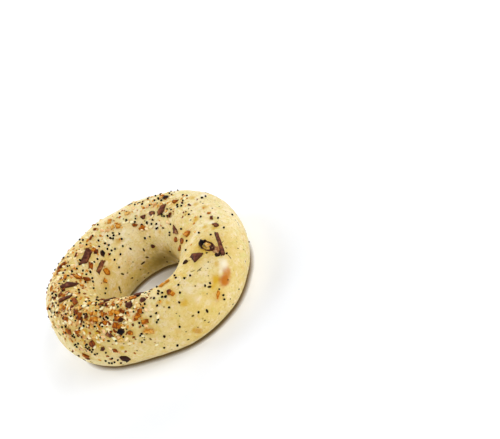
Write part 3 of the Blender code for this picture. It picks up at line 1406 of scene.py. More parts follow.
@dataclass
class Crumbs:
    """The dust of garlic, onion and broken seed that lies between the larger toppings."""

    scatter: Scatter
    sides: int = 4
    stray: float = 0.25  # of a crumb's corners
    paleness: float = 1.8  # the higher this is, the more of them are pale

    def build(self, ground: Ground, skin: Surface) -> Heap:
        """Strews the crumbs.

        Args:
            ground: The bare dough.
            skin: The finished skin, which they lie on.

        Returns:
            The heap of crumbs.
        """
        heap = Heap("garlic_crumbs", TOASTED_GARLIC)
        crags = random.Random(self.scatter.seed)
        for place, length in self.scatter.places(ground):
            piece = chunk(self.sides, self.scatter.sizes(length), crags, self.stray)
            heap.add(piece, skin.settled(place, self.scatter.lift), crags.random() ** self.paleness)
        return heap


# ---------------------------------------------------------------------------------------------
# The dough's fine surface


@dataclass(frozen=True)
class StainAndPaintedLight:
    """A soft mark on the dough: a stain, a painted shade or a painted highlight, at the pixel of the
    photograph that shows its middle.
    """

    x: float
    y: float
    mark: Mark
    length: float
    width: float
    turn: float
    strength: float
    crisp: float  # how suddenly it ends: 2 is soft


@dataclass(frozen=True)
class Blister:
    """A low rise of the skin, at the pixel of the photograph that shows its middle."""

    x: float
    y: float
    length: float
    width: float
    height: float
    turn: float = 0.0


@dataclass
class DoughSkin:
    """The dough's own surface, fine enough to show how it blistered and took its toppings."""

    ground: Ground
    # Stains, and shade and highlight painted into the skin's colour
    stains: tuple[StainAndPaintedLight, ...] = ()
    blisters: tuple[Blister, ...] = ()
    ring_steps: int = 440
    section_steps: int = 216
    # The height and the length of each size of the relief
    relief: tuple[tuple[float, float], ...] = (
        (0.14 * MM, 7.0 * MM),
        (0.07 * MM, 2.4 * MM),
        (0.05 * MM, 1.1 * MM),
    )
    rim_height: float = 0.13 * MM
    sink_depth: float = 0.16 * MM
    # As shares of a piece's reach: where the raised rim of its bed runs and how wide that is, how
    # wide the sunk middle is, how far its oil goes, and where all of it ends
    rim_at: float = 1.2
    rim_width: float = 0.35
    sink_width: float = 0.8
    oil_width: float = 1.65
    bed_end: float = 2.4
    full_reach: float = 1.6 * MM  # of a piece that presses in as far as any
    furthest: float = 0.4 * MM  # that the skin strays from the ring's own form
    tint_ragged: float = 0.35  # how much the edge of a stain, a painted shade or a painted highlight strays
    tint_ragged_length: float = 1.5 * MM
    blister_crisp: float = 4  # how suddenly a blister's edge rises
    heights: list[float] = field(default_factory=list)
    marks: dict[Mark, list[float]] = field(default_factory=dict)

    def build(self, beds: list[Bed]) -> Surface:
        """Makes the dough, which stands for the bagel's solid.

        Args:
            beds: Where the toppings press into it.

        Returns:
            The finished skin, to lay finer things on.
        """
        mesh = self.ground.ring.shell(self.ring_steps, self.section_steps)
        mesh.verts.ensure_lookup_table()
        points = [vertex.co.copy() for vertex in mesh.verts]
        tree = KDTree(len(points))
        for index, point in enumerate(points):
            tree.insert(point, index)
        tree.balance()
        self.heights = [self.relief_at(point) for point in points]
        self.marks = {mark: [0.0] * len(points) for mark in Mark}
        for bed in beds:
            self.press(bed, tree)
        # Lays the stains, and the painted shade and highlight
        for stain in self.stains:
            self.stain(stain, tree)
        for blister in self.blisters:
            self.raise_skin(blister, tree)
        for vertex, height in zip(mesh.verts, self.heights):
            vertex.co += vertex.normal * max(-self.furthest, min(self.furthest, height))
            vertex.co.z = max(0.0, vertex.co.z)
        self.finish(mesh)
        return Surface(mesh, self.ground.surface.camera)

    def relief_at(self, point: Vector) -> float:
        """How far the bare skin strays from the ring's own form at this point."""
        return sum(height * noise.noise(point / length) for height, length in self.relief)

    def press(self, bed: Bed, tree: KDTree) -> None:
        """Presses a topping's bed into the skin, raises the dough round it and lets its oil out."""
        depth = min(1.0, bed.reach / self.full_reach)
        oil = self.marks[Mark.OIL]
        for _, index, distance in tree.find_range(bed.point, self.bed_end * bed.reach):
            off = distance / bed.reach
            rim = math.exp(-(((off - self.rim_at) / self.rim_width) ** 2))
            self.heights[index] += self.rim_height * depth * rim
            self.heights[index] -= self.sink_depth * depth * math.exp(-((off / self.sink_width) ** 2))
            oil[index] = max(oil[index], bed.oil * math.exp(-((off / self.oil_width) ** 2)))

    def across(
        self, mark: StainAndPaintedLight | Blister, tree: KDTree, ragged: float = 0.0
    ) -> Iterator[tuple[int, float]]:
        """Yields the points of the skin that a mark may reach.

        Args:
            mark: The stain, painted shade, painted highlight or blister.
            tree: The skin's points.
            ragged: How much its edge strays.

        Yields:
            The point's number, and how far off it is: 0 at the mark's middle, 1 at its edge.
        """
        place = self.ground.surface.under(mark.x, mark.y, mark.turn)
        back = place.inverted()
        for point, index, _ in tree.find_range(place.translation, mark.length):
            local = back @ point
            stray = 1 + ragged * noise.noise(point / self.tint_ragged_length)
            yield index, math.hypot(local.x / mark.length, local.y / mark.width) * 2 * stray

    def stain(self, stain: StainAndPaintedLight, tree: KDTree) -> None:
        """Lays a soft mark on the skin."""
        amounts = self.marks[stain.mark]
        for index, off in self.across(stain, tree, self.tint_ragged):
            amounts[index] = max(amounts[index], stain.strength * math.exp(-(off**stain.crisp)))

    def raise_skin(self, blister: Blister, tree: KDTree) -> None:
        """Raises a blister."""
        for index, off in self.across(blister, tree):
            self.heights[index] += blister.height * math.exp(-(off**self.blister_crisp))

    def finish(self, mesh: bmesh.types.BMesh) -> bpy.types.Object:
        """Makes the skin an object, with its marks as attributes."""
        dough = new_object("dough", mesh, BoiledCrust().material())
        for mark, amounts in self.marks.items():
            layer = dough.data.attributes.new(mark.value, "FLOAT", "POINT")
            layer.data.foreach_set("value", amounts)
        dough.data.shade_smooth()
        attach(dough, BODY)
        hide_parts(NODE)
        log.info("dough: %d faces", len(dough.data.polygons))
        return dough


# ---------------------------------------------------------------------------------------------
# The studio


@dataclass(frozen=True)
class Softbox:
    """A soft lamp, by the way that it stands from the bagel."""

    azimuth: float
    elevation: float
    power: float


@dataclass(frozen=True)
class Studio:
    """A pale floor with a contact shadow painted into its colour where the bagel stands on it, and softboxes
    all round.
    """

    floor_size: float = 3.0
    floor_gap: float = 0.02 * MM  # that keeps the floor clear of the bagel's underside
    floor_colour: str = "#f2f4f8"
    floor_roughness: float = 0.9
    floor_glow: float = 0.15
    # The contact shadow painted into the floor's colour
    contact_shadow_colour: str = "#7d6538"
    contact_shadow_reach: float = 3.2 * MM
    contact_shadow_span: tuple[float, float] = (0.3, 0.9)  # of the open sky, from the painted shadow's darkest to the bare paper
    sky_colour: str = "#ffffff"
    sky_strength: float = 0.02
    softboxes: tuple[Softbox, ...] = (
        Softbox(-90, 20, 4.5),
        Softbox(-45, 45, 3.0),
        Softbox(-20, 45, 3.0),
        Softbox(0, 85, 1.0),
        Softbox(45, 20, 4.5),
        Softbox(90, 20, 2.0),
        Softbox(135, 20, 4.0),
        Softbox(135, 45, 3.5),
        Softbox(180, 20, 2.0),
    )
    softbox_size: float = 0.6
    softbox_distance: float = 1.1

    def build(self) -> None:
        """Makes the floor, the sky and the lamps."""
        # White paper that glows evenly, with a warm brown contact shadow painted into its colour where it
        # meets the bagel
        paper, tree, shader = new_material("floor_paper")
        open_sky = add_node(tree, "ShaderNodeAmbientOcclusion", {"Distance": self.contact_shadow_reach})
        shade = add_node(
            tree,
            "ShaderNodeValToRGB",
            {"Fac": open_sky.outputs["AO"]},
            stops=tuple(zip(self.contact_shadow_span, (self.contact_shadow_colour, self.floor_colour))),
        ).outputs["Color"]
        set_inputs(
            shader,
            {
                "Base Color": shade,
                "Emission Color": shade,
                "Roughness": self.floor_roughness,
                "Emission Strength": self.floor_glow,
            },
        )
        mesh = bmesh.new()
        lowered = Matrix.Translation((0, 0, -self.floor_gap))
        bmesh.ops.create_grid(mesh, x_segments=2, y_segments=2, size=self.floor_size / 2, matrix=lowered)
        floor = new_object("floor", mesh, paper)
        mesh.free()

        sky = bpy.data.worlds.new("studio_sky")
        sky.use_nodes = True
        set_inputs(
            sky.node_tree.nodes["Background"],
            {"Color": linear(self.sky_colour), "Strength": self.sky_strength},
        )
        bpy.context.scene.world = sky
        for number, softbox in enumerate(self.softboxes):
            self.hang(softbox, f"softbox_{number}")
        bpy.context.scene.view_settings.view_transform = "Standard"

    def hang(self, softbox: Softbox, name: str) -> None:
        """Hangs one lamp, facing the bagel."""
        turn = Matrix.Rotation(math.radians(softbox.azimuth), 3, "Z")
        lean = Matrix.Rotation(math.radians(-softbox.elevation), 3, "Y")
        toward = turn @ lean @ Vector((1, 0, 0))
        lamp = bpy.data.lights.new(name, "AREA")
        lamp.shape = "DISK"
        lamp.size = self.softbox_size
        lamp.energy = softbox.power
        hung = bpy.data.objects.new(name, lamp)
        hung.location = toward * self.softbox_distance
        hung.rotation_euler = (-toward).to_track_quat("-Z", "Y").to_euler()
        bpy.context.scene.collection.objects.link(hung)


# ---------------------------------------------------------------------------------------------
# What lies where


def flakes_of(*rows: tuple[float, ...]) -> tuple[Flake, ...]:
    """Flakes from what Flake takes, with their lengths and widths in millimetres."""
    return tuple(
        Flake(around, over, length * MM, width * MM, *rest) for around, over, length, width, *rest in rows
    )


def seen_of(*rows: tuple[float, ...], slimness: float = 0.8) -> tuple[Seen, ...]:
    """Toppings laid one by one, from what Seen takes, with their lengths in millimetres.

    Args:
        rows: A topping each. Its turn and its slimness may be left out.
        slimness: What holds where a row doesn't give it.

    Returns:
        The toppings.
    """

    def topping(
        x: float, y: float, length_mm: float, tone: float, turn: float = 0.0, slim: float = slimness
    ) -> Seen:
        """One topping, from its row."""
        return Seen(x, y, length_mm * MM, tone, turn, slim)

    return tuple(topping(*row) for row in rows)


CHARRED_FLAKES = flakes_of(
    # The thick right end
    (325, 50, 11.6, 1.7, 23, 0.36, 4), (312, 81, 6.6, 6.3, -12, 0.4, 3), (308, 98, 3.6, 2.4, 120, 0.75),
    (342, 58, 3.4, 2.9, 47, 0.24), (14, 127, 7.4, 3.4, 342, 0.27, 3),
    # The far crown
    (40, 103, 5.8, 4.2, 74, 0.29), (49, 110, 4.5, 3.2, 5, 0.35), (58, 114, 4.4, 3.4, 16, 0.36, 3),
    (41, 78, 3.4, 3.2, 12, 0.85), (60, 165, 2.6, 2.4, 74, 0.66),
    # The left end
    (109, 138, 3.8, 2.8, 48, 0.85), (121, 122, 9, 3.6, 13, 0.4, 4), (122, 150, 7, 2.5, 9, 0.27, 4),
    (155, 109, 8, 4.6, 97, 0.47), (170, 94, 5.9, 2, 59, 0.38, 4),
    # The near side, from the rim of the hole down to the foot
    (209, 112, 6.4, 2, 15, 0.5, 4), (238, 79, 4.4, 3.2, 121, 0.52), (251, 83, 3.5, 3, 32, 0.5),
    (248, 106, 5, 2.8, 165, 0.45), (228, 54, 3, 2.8, 130, 0.55), (225, 35, 4.5, 4.1, 168, 0.97),
    (216, 33, 3.6, 3.3, 156, 0.33), (206, 11, 4, 2.1, 36, 0.5), (213, -18, 5.3, 4.8, 96, 0.72),
)
TOASTED_FLAKES = flakes_of(
    # The thick right end
    (9, 138, 3.8, 2.8, 20, 0.62), (350, 124, 4.4, 2.6, 22, 0.7), (349, 137, 4.4, 2.9, 66, 0.6),
    (350, 109, 5.2, 4, 43, 0.4),
    # The far crown
    (68, 124, 3, 2.2, 164, 0.55), (62, 131, 4.2, 2.8, 180, 0.5), (31, 86, 3.8, 3, 17, 0.65, 3),
    # The left end
    (120, 161, 4.6, 4.1, 130, 0.45), (131, 165, 3.5, 2.8, 124, 0.34), (133, 86, 4.8, 2.6, 126, 0.8, 4),
    (143, 125, 4.8, 4, 43, 0.5), (179, 99, 6.6, 2.6, 157, 0.72, 4), (185, 40, 4.4, 3.4, 176, 0.62),
    # The near side, from the rim of the hole down to the foot
    (240, 98, 4.6, 3.9, 2, 0.5), (275, 72, 3.6, 2.4, 102, 0.75), (243, 53, 3.2, 2.8, 9, 0.5),
    (246, 40, 3.6, 2, 175, 0.58, 4), (231, 28, 3.8, 2.8, 143, 0.6), (228, 44, 3.2, 2.6, 168, 0.22),
    (201, 22, 4.8, 3.4, 50, 0.8), (189, -3, 4.6, 2.8, 155, 0.65),
)
GARLIC_SCATTER = Scatter(
    fused=46, count=220, longest=2.4 * MM, shortest=0.9 * MM, slimness=0.74, flatness=0.5,
    lift=0.2 * MM, gap=1.8 * MM, focus=1.6, bare=0.003, seed=11, shown=0.2,
)
SESAME_SCATTER = Scatter(
    fused=72, count=230, longest=3 * MM, shortest=2.5 * MM, slimness=0.62, flatness=0.3,
    lift=0.15 * MM, gap=2.2 * MM, focus=1.3, bare=0.006, seed=23, shown=0.7,
)
POPPY_SCATTER = Scatter(
    fused=32, count=560, longest=1.25 * MM, shortest=1 * MM, slimness=0.9, flatness=0.85,
    lift=0.25 * MM, gap=1.4 * MM, focus=0.9, bare=0.03, seed=37, shown=0.2,
)
CRUMB_SCATTER = Scatter(
    fused=0, count=820, longest=1.3 * MM, shortest=0.4 * MM, slimness=0.7, flatness=0.5,
    lift=0.08 * MM, gap=0.7 * MM, focus=1.3, bare=0.004, seed=71, sparse=0.08,
)

# Where the photograph shows poppy seeds, read one by one: pixels from its left and from its top
POPPY_PIXELS = (
    # The crown beyond the hole, from the thick end to the left
    (172, 195), (183, 195.4), (187, 196), (183, 201), (182.5, 203.4), (181.5, 206), (177.3, 205),
    (177.7, 207), (205.4, 196.6), (232, 215), (189, 214.5), (200.8, 217), (218, 218.3), (181.3, 229),
    (199, 233), (210.8, 235), (223.7, 227.8), (187, 241), (186, 250.3), (170, 232.6), (170, 235),
    (156.6, 228.5), (145.2, 238.2), (167.5, 216), (164.3, 216.3), (162, 214.4), (156.5, 224),
    (151.7, 224), (147, 223.7), (152.8, 220), (141.8, 224.7), (158.3, 198.5), (154.6, 200.6),
    (155.6, 196.3), (148, 199.3), (142.2, 204.2), (169.5, 193.7), (135, 205), (126.7, 212.3),
    (126.4, 220), (135, 222), (98, 225), (107.6, 236), (110.6, 238.2), (113, 233), (113.7, 235.4),
    (119.3, 234), (121.8, 239), (145, 238), (150.2, 205.3),
    # The thick end
    (226.5, 253.5), (190.2, 275.7), (184.4, 278.5), (174.7, 275.7), (176, 278), (178.5, 285),
    (205, 285.8), (209.9, 283.3), (224, 299.3), (223, 295),
    # The near side, right of the thick of the toppings
    (157, 287.2), (180, 292.7), (179.3, 302.5), (169.3, 307.5), (157.3, 305.6), (149.5, 292.4),
    (159, 291.7), (158.2, 294), (162.3, 293), (162.3, 297), (154.2, 298.3), (144.8, 304), (143.2, 308),
    (151, 316.3), (156.3, 313), (158.2, 319.4), (157, 322.2), (143.2, 325.6), (142, 333.4),
    (146.8, 333), (142, 341.8), (179.6, 326.6), (164.2, 347.4), (140.6, 305), (145.6, 293.8),
    (198.5, 312.1),
    # The left end, upper part
    (93, 236), (80, 240), (83.2, 240.3), (80.5, 243.5), (86.6, 245), (98.5, 240.7), (99.2, 246.6),
    (105, 243.5), (108.8, 245), (107.3, 249), (111.5, 250.5), (115, 249), (109.7, 254), (120.3, 254.2),
    (122.8, 246), (121.6, 239), (110.3, 238), (113, 238.5), (114.4, 259.7), (118.8, 267.2),
    (97.3, 259.2), (94, 262.2), (91.6, 263.4), (82.8, 270.7), (76.8, 269), (80, 260.3), (55.6, 270),
    (58, 271.4), (63.3, 273.3), (72, 271.8), (71.7, 275), (86.2, 274.5), (90.4, 272.6), (92, 278.3),
    (92.7, 281.8), (85.2, 282.5), (59.5, 284), (93.3, 288.5), (105.6, 288.6),
    # The left end, lower part
    (78.6, 290.3), (79.3, 292.8), (104.8, 293.4), (52.7, 293.7), (56, 295), (53, 297.7), (58.5, 305.5),
    (55, 312.3), (57.4, 312.5), (56, 314.8), (71.3, 301.2), (89.5, 301.6), (96.6, 300.2), (96.2, 303.3),
    (99.2, 304.8), (82, 306.4), (88.5, 306.4), (84.3, 311), (84.3, 314.4), (86.6, 314), (96, 311),
    (100.8, 307.5), (100.5, 317), (108, 318.2), (126, 313.3), (87.4, 323.2), (95, 326.3), (100, 324.6),
    (102.5, 326), (103, 322.6), (96.7, 321.4), (76.3, 326), (80, 327.8), (67, 325), (62.3, 326.8),
    (74.8, 315), (71.3, 316.3), (66.3, 332.4), (74, 334), (72.8, 335.7), (74.8, 337), (82.4, 336.6),
    (75.7, 344.2), (78.4, 343.3), (77, 346.5), (87.8, 348.5), (90, 349.6), (93, 349.2), (92, 351.5),
    (87.2, 350.4), (95.2, 354), (72.8, 351), (79, 355.3), (116, 340.4), (109.2, 362.5), (112, 362.7),
    (112.2, 358), (117.8, 359.5), (114.5, 361.8), (105.7, 360.5), (121, 362.5), (126.8, 361),
    (106, 352.3), (122, 300.2), (139.4, 322.8), (141.7, 333.5), (87.2, 344), (63.5, 318),
)
BIG_POPPY_PIXELS = ((202, 198.2), (165.7, 296.7), (177.3, 345), (164.3, 336.2), (50.2, 309), (138, 296.4))
POPPY_MM, BIG_POPPY_MM = 1.32, 1.6
POPPY_SLIMNESS = 0.88
POPPY_TONE = 0.3
POPPY_TURN = 37  # how much further than the one before each seed is turned
POPPIES_SEEN = seen_of(
    *(
        (x, y, length_mm, POPPY_TONE, POPPY_TURN * number % 180, POPPY_SLIMNESS)
        for length_mm, pixels in ((POPPY_MM, POPPY_PIXELS), (BIG_POPPY_MM, BIG_POPPY_PIXELS))
        for number, (x, y) in enumerate(pixels)
    )
)

SESAME_SEEN = seen_of(
    # The inside of the curl
    (204.6, 245, 2.6, 0.3, -62, 0.5),
    # The crown beyond the hole
    (127.7, 222.4, 2.8, 0.3, 30), (132, 222.4, 3, 0, -10, 0.65), (152.4, 216.3, 2.7, 0.3, 60),
    (116.7, 234, 2.6, 0.3, 10), (146.8, 229, 2.7, 0.2, -30), (151.7, 226.7, 2.7, 0.2, 40),
    (142, 229.8, 2.5, 0.6),
    # The near side
    (158, 316.3, 2.7, 0.2, 80, 0.65), (152, 309.5, 2.7, 0.3, 20), (146, 310, 2.6, 0.6, -40),
    (157, 344.2, 2.2, 0.1, 10), (148.8, 292.7, 2.6, 0.3), (136, 306.4, 2.8, 0.1, 55),
    (147.8, 292.2, 2.5, 0.2, 15), (143.2, 295, 2.6, 0.2, -20), (129.8, 343, 2.6, 0.3, 20, 0.7),
    # The left end
    (82.4, 252.3, 2.7, 0.3, 30), (64.4, 267.2, 2.7, 0.3, -20), (58.6, 280, 2.7, 0.3, -55),
    (79.6, 275.6, 3, 0.2, -52, 0.55), (54.6, 273.8, 2.7, 0.5, 40, 0.65), (90.6, 287.6, 2.7, 0.4, 30),
    (81.6, 252.6, 2.8, 0.5, 20, 0.7), (73, 265.6, 2.7, 0.4, 10), (53.6, 285.6, 2.6, 0.4, 70),
    (59, 279.5, 2.6, 0.6, 10), (84.7, 306.4, 3.1, 0, 10, 0.7), (71, 308, 2.7, 0.3, 45),
    (58.3, 299.5, 2.7, 0.3, -45), (53.5, 300.6, 2.6, 0.3, 70), (90.8, 295.7, 2.7, 0.2, 5),
    (64.8, 304, 2.7, 0.4, 30), (80.5, 321.7, 2.8, 0.3, 60), (64.4, 323, 2.7, 0.3),
    (70.6, 321.7, 2.7, 0.3, -30), (59.5, 321, 2.6, 0.5, 20), (102.3, 308.7, 2.8, 0.1, 40),
    (108.4, 304.5, 2.7, 0.3, -15), (112.6, 300.6, 2.7, 0.3, 20, 0.45), (111.5, 308, 2.7, 0.2, 75),
    (121.4, 314.8, 2.7, 0.3, 10), (125.3, 317.8, 2.7, 0.3, -50), (102.3, 340.4, 2.7, 0.2, 15),
    (107.7, 328.6, 2.7, 0.3, 35), (90, 337.7, 2.7, 0.3, -10), (95, 346.5, 2.7, 0.2, 50),
    (124, 327, 2.7, 0.4), (67.5, 293.4, 2.7, 0.8, 30),
    slimness=0.6,
)

GARLIC_SEEN = seen_of(
    # The crown beyond the hole
    (170, 215.2, 2.8, 0.9, 75, 0.45), (211.4, 218.3, 2.4, 0.9, 90, 0.55), (209, 213.3, 1.6, 0.6),
    (109.8, 221.4, 2.8, 0.25, 75, 0.6), (118.3, 226.2, 2.7, 0.3, 20), (94.8, 229.5, 1.7, 0.8),
    # The inside of the curl
    (207.6, 245.6, 3, 0.12, -35, 0.75),
    # The near side
    (149.2, 330.6, 4.9, 0.22, 0, 0.38), (139.8, 311.3, 2.4, 0.65, 0, 0.95),
    (172.6, 293.8, 2.2, 0.35, -40, 0.7), (162.5, 285.4, 2.8, 0.3, 35, 0.6),
    (167, 282.4, 2.6, 0.35, 35, 0.6),
    # The left end, upper part
    (91, 238, 2.6, 0.7, 60, 0.4), (62.2, 266.2, 3.6, 0.85, 35, 0.6), (90.4, 266.5, 3.2, 0.62, 80, 0.83),
    (95.8, 251.5, 2.4, 0.8, 0, 0.95), (88, 247.7, 3.6, 0.1, 10, 0.55), (87, 279.5, 3.1, 0.68, 0, 0.65),
    (56, 274.5, 2.2, 0.1, 30), (81.3, 285.6, 2.2, 0.42), (75.9, 255.7, 3, 0.85, 70, 0.35),
    # The left end, lower part
    (75.9, 312, 2.4, 0.8, 0, 0.9), (80, 315.6, 3.6, 0.75, 85, 0.5), (92, 314, 2.4, 0.5, 20, 0.85),
    (95, 319.8, 3.2, 0.35, 10), (105.4, 322.8, 2.4, 0.55, 0, 0.75), (111.5, 313.6, 2.6, 0.35, 90, 0.9),
    (117.2, 313, 2.7, 0.4), (116.5, 318.6, 2.4, 0.58, 0, 0.95), (115.7, 324.7, 2.6, 0.62, 80, 0.9),
    (102, 304.5, 2.6, 0.85, 0, 0.85), (90, 303.7, 2.4, 0.35, 0, 0.95), (61.8, 307, 3.1, 0.25, 90, 0.83),
    (60.2, 295.7, 2.4, 0.75, 0, 0.75), (67, 319, 2.7, 0.7, 0, 0.6), (77.8, 332.4, 2.6, 0.6, 90),
    (115, 350, 2.4, 0.72, 0, 0.75), (88, 358, 2.2, 0.85),
)

# The translucent end of the curl, and the charred piece under the strip's foot
LOW_ONION_SEEN = seen_of(
    (215.6, 250.2, 4.8, 0.12, -42, 0.85), (217.6, 249.4, 3.6, 0.16, 62, 0.55),
    (217.8, 253.6, 4.6, 0.75, 38, 0.6), (211.2, 248.6, 2.8, 0.62, -66, 0.32),
    (212.4, 246.8, 3.6, 0.42, -24, 0.7), (222.4, 253.4, 2.2, 0.9, -70, 0.7),
)
# Toasted pieces that the skin has half closed over
LOW_GARLIC_SEEN = seen_of(
    (218.2, 295, 4.6, 0.45, 80, 0.4),
)

FLECKS_AND_CREASE_SHADE_SEEN = seen_of(
    # The wall of the hole
    (122.6, 274, 2.5, 0.5, -15, 0.46), (132.2, 278, 1.5, 0.7), (119.7, 288.8, 3.4, 0.6, -75, 0.41),
    (120.9, 292.6, 1.4, 0.6), (143, 263, 3.3, 0.7, 38, 0.41), (147.2, 257.3, 2.1, 0.6, -5, 0.58),
    (143.8, 249.8, 2.3, 0.6, -65, 0.46), (130.5, 248.8, 1.9, 1, -45, 0.65),
    (170, 251.5, 2.3, 0.7, -5, 0.51), (140.5, 269.7, 1.2, 0.3), (148.4, 273, 1.3, 0.9),
    (144.7, 277.3, 1, 0.7), (137.6, 280.3, 0.9, 0.3), (180.1, 255.1, 1, 0.5),
    (164.3, 257.2, 1.3, 0.6, 90, 0.6), (167.2, 262, 1.7, 0.6, -45, 0.72), (149.7, 236.8, 1.3, 0.9),
    (133, 262, 0.9, 0.2),
    # The crown beyond the hole
    (203, 203.4, 0.9, 0.8), (144.8, 221, 1, 0.4), (157.1, 203, 1.2, 0.9), (185.7, 211.7, 1.2, 0.8),
    (191.4, 210.7, 1, 0.5), (212.4, 208.3, 0.9, 0.8), (219.2, 206.6, 0.8, 0.8),
    (130, 204.2, 3.8, 0.8, 20, 0.51), (139, 202.6, 2.6, 0.9, 20, 0.51), (135.4, 216, 1.1, 0.3),
    (123.4, 219, 1, 0.4),
    # The thick end
    (238, 248.4, 0.9, 0.8), (206.8, 252.9, 1.3, 0.9), (195.3, 286, 1, 0.2),
    (209.4, 286.9, 2.3, 1, 12, 0.55), (200, 270, 0.9, 0.7), (207.5, 268.3, 0.7, 0.5),
    (208.3, 275.8, 0.8, 0.4), (208.2, 262, 0.9, 0.5), (207.1, 293.8, 0.7, 0.6), (219.3, 289.2, 1.2, 1),
    (228, 279.8, 0.9, 0.9), (239, 289.2, 1.4, 0.8, 0, 0.65), (233, 304.3, 1.4, 0.8, 35, 0.65),
    (230.4, 299, 0.9, 0.4),
    # The near side
    (192.9, 315.8, 1.6, 0.2, 30, 0.72), (207.1, 311, 2.4, 0.9, -62, 0.55), (197.9, 327.3, 0.8, 0.6),
    (205, 320.4, 1.1, 0.5), (208.7, 322.2, 1.2, 0.5, 20, 0.7), (219.2, 313.6, 1.3, 0.6, 90, 0.7),
    (198.4, 311.9, 1.3, 1, 60), (186, 331.8, 0.9, 0.2), (188.2, 339.6, 1.4, 0.8, 20, 0.72),
    (179.6, 316, 0.8, 0.6), (176.4, 313.5, 0.8, 0.6), (159.5, 300.3, 1, 0.3), (144.4, 339.8, 1.2, 0.8),
    (151, 339.6, 1, 0.3), (118.4, 311, 1, 0.9), (108.5, 341, 1.9, 0.9, 0, 0.72), (135.6, 339.3, 1, 0.4),
    (137, 350.7, 1, 0.8),
    # Dark lines painted as the shade in folds of the skin along the foot at the left
    (55.5, 327, 2.2, 0.6, -58, 0.35), (59.5, 334, 2.4, 0.7, -58, 0.35), (64.5, 340, 1.8, 0.5, -52, 0.4),
    (77.5, 355.5, 2.4, 0.6, -42, 0.35), (84.5, 360, 2.4, 0.8, -36, 0.4), (91.5, 362, 2, 0.6, -20, 0.4),
    # Thin dark lines painted as the shade in cracks of the skin at the thick end
    (199.6, 269.3, 3.4, 0.35, 42, 0.14), (192.6, 271.2, 2.6, 0.3, 20, 0.14),
    (229.4, 256.6, 3, 0.35, -50, 0.14), (222.6, 242, 2.6, 0.25, 48, 0.14),
)

# For each mark and its crispness: pixels, lengths and widths in millimetres, turns and strengths
STAIN_AND_PAINTED_LIGHT_ROWS = {
    (Mark.GOLD_AND_SHADE, 2): (
        # Deeper gold, partly painted shade, where the near side turns down
        (196, 316, 56, 34, 38, 0.5), (146, 346, 44, 26, 15, 0.35), (84, 330, 42, 30, -40, 0.55),
        (70, 290, 30, 20, 80, 0.35), (226, 278, 36, 26, 80, 0.46), (214, 292, 26, 20, 40, 0.5),
        (206, 246, 18, 14, 0, 0.2), (92, 346, 34, 22, -30, 0.5),
        # Painted shade on the wall of the hole, in the deeper gold
        (131, 280, 32, 12, 50, 0.5), (152, 265, 26, 11, 38, 0.45),
    ),
    (Mark.HOLE_SHADE, 2): (
        # Painted shade on the wall of the hole
        (162, 260, 24, 12, 34, 0.95), (172, 255, 11, 10, 0, 0.9), (136, 285, 24, 10, 45, 0.45),
    ),
    (Mark.FLOUR_AND_HIGHLIGHT, 2): (
        # Floury places, and pale patches painted as highlight where the light falls most
        (223.6, 263.6, 6, 4.6, 80, 0.85), (220.8, 271, 3.5, 2, 80, 0.6), (189, 289, 6, 4.5, 20, 0.45),
        (197.8, 299.6, 3, 2.8, 0, 0.35), (207, 265, 6, 4, 30, 0.3), (203.4, 195.4, 4.6, 2.6, 15, 0.8),
        (130, 256, 18, 9, 45, 0.2), (134, 230, 24, 14, 35, 0.22), (98, 278, 12, 8, 60, 0.14),
        (220, 204, 22, 16, -20, 0.18), (211.6, 222.4, 2.6, 1.8, 30, 0.8),
        (200.6, 225.4, 4, 1.6, -10, 0.6),
    ),
    (Mark.TOAST, 6): (
        # The blister, which two stains make up, and an oily spot
        (226.8, 273.8, 8.4, 4.6, 84, 0.8), (224.6, 280.4, 6.8, 5.4, 66, 0.95),
        (197.4, 330.8, 5.6, 3.4, -20, 0.4),
    ),
    (Mark.TOAST, 3): (
        (90.6, 325, 4.6, 1.8, 48, 0.55),
    ),
    (Mark.TOAST, 2): (
        (217.6, 297, 3.4, 2, 80, 0.6), (122, 209, 3.2, 2, 20, 0.3),
    ),
    (Mark.OIL, 6): (
        (197.4, 330.8, 5.8, 3.6, -20, 0.6),
    ),
    (Mark.OIL, 3): (
        (216, 279.6, 6, 4.6, 70, 0.95), (213.5, 286, 4, 3, 60, 0.8), (216.7, 263.8, 3, 2.4, 80, 0.95),
        (184.2, 302.8, 4.6, 3.6, 45, 0.8), (195.8, 204, 2.4, 3.6, 0, 0.8),
        (204.2, 207, 2.6, 3.4, 0, 0.85), (192.6, 198, 3, 3.4, 0, 0.8), (195.8, 220, 3.2, 3.8, 0, 0.85),
        (159.7, 231.8, 2.6, 2, 60, 0.7), (160, 302, 3, 2.4, 0, 0.7), (167.5, 302.7, 2.6, 2.4, 0, 0.7),
        (118.4, 241.2, 3.2, 3, 0, 0.9), (86, 331.6, 3.4, 3, 0, 0.9), (82.8, 340, 3, 2.6, 0, 0.9),
        (97.3, 332.8, 3.4, 3, 0, 0.9), (120.7, 340, 4.2, 3, 80, 0.95), (122.2, 347.7, 3, 2.6, 0, 0.9),
        (99, 346, 3.2, 2.8, 0, 0.9), (204.6, 226.8, 2.6, 2.6, 0, 0.9), (214, 228.2, 3.4, 2.4, 45, 0.8),
        (211, 241, 2.6, 3.4, 0, 0.6), (186, 213, 3.4, 3, 30, 0.6), (72, 297.6, 4.2, 3, 30, 0.7),
        (60, 281, 3, 3, 0, 0.7), (113.4, 309.6, 4, 2.8, 0, 0.85), (70, 332, 3.4, 2.8, 0, 0.5),
    ),
}
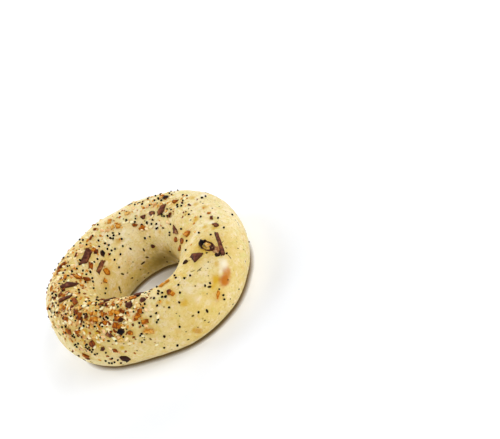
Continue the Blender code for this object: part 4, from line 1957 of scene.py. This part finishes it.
STAINS_AND_PAINTED_LIGHT = tuple(
    StainAndPaintedLight(x, y, mark, length * MM, width * MM, turn, strength, crisp)
    for (mark, crisp), rows in STAIN_AND_PAINTED_LIGHT_ROWS.items()
    for x, y, length, width, turn, strength in rows
)

BLISTERS = (
    Blister(225.4, 277.0, 10.6 * MM, 4.4 * MM, 0.35 * MM, 78),
    Blister(197.8, 299.6, 3.2 * MM, 3.0 * MM, 0.3 * MM),
    Blister(224.0, 264.5, 5.0 * MM, 4.0 * MM, 0.2 * MM, 80),
    Blister(218.2, 294.8, 5.6 * MM, 3.0 * MM, 0.15 * MM, 82),
)


BARE_STEPS = (180, 90)  # round the ring and round the section, for what toppings are laid on


def main() -> None:
    """Builds the bagel's look and the studio round it."""
    logging.basicConfig(level=logging.INFO, format="%(message)s")
    noise.seed_set(NOISE_SEED)
    ring = Ring()
    camera = PhotoCamera()
    camera.build()
    Studio().build()
    ground = Ground(ring, Surface(ring.shell(*BARE_STEPS), camera), CHARRED_FLAKES + TOASTED_FLAKES)

    kinds = (
        Flakes(
            "onion_flakes", "charred", CHARRED_ONION, CHARRED_FLAKES, LOW_ONION_SEEN, low_sink=-0.12 * MM
        ),
        Flakes("garlic_flakes", "toasted", TOASTED_GARLIC, TOASTED_FLAKES, LOW_GARLIC_SEEN, oil=0.6),
        GarlicBits(GARLIC_SCATTER, GARLIC_SEEN),
        Seeds(
            "sesame_seeds", SESAME_FLESH, SeedShape.TEARDROP, SESAME_SCATTER, SESAME_SEEN, seen_lift=0.2 * MM
        ),
        Seeds("poppy_seeds", POPPY_COAT, SeedShape.KIDNEY, POPPY_SCATTER, POPPIES_SEEN),
    )
    heaps = [kind.build(ground) for kind in kinds]
    OnionCurl().add_to(heaps[0], ground)
    skin = DoughSkin(ground, STAINS_AND_PAINTED_LIGHT, BLISTERS).build([bed for heap in heaps for bed in heap.beds])
    heaps.append(SunkenFlecksAndCreaseShade(FLECKS_AND_CREASE_SHADE_SEEN).build(ground, skin))
    heaps.append(Crumbs(CRUMB_SCATTER).build(ground, skin))
    for heap in heaps:
        heap.build()


if __name__ == "__main__":
    main()
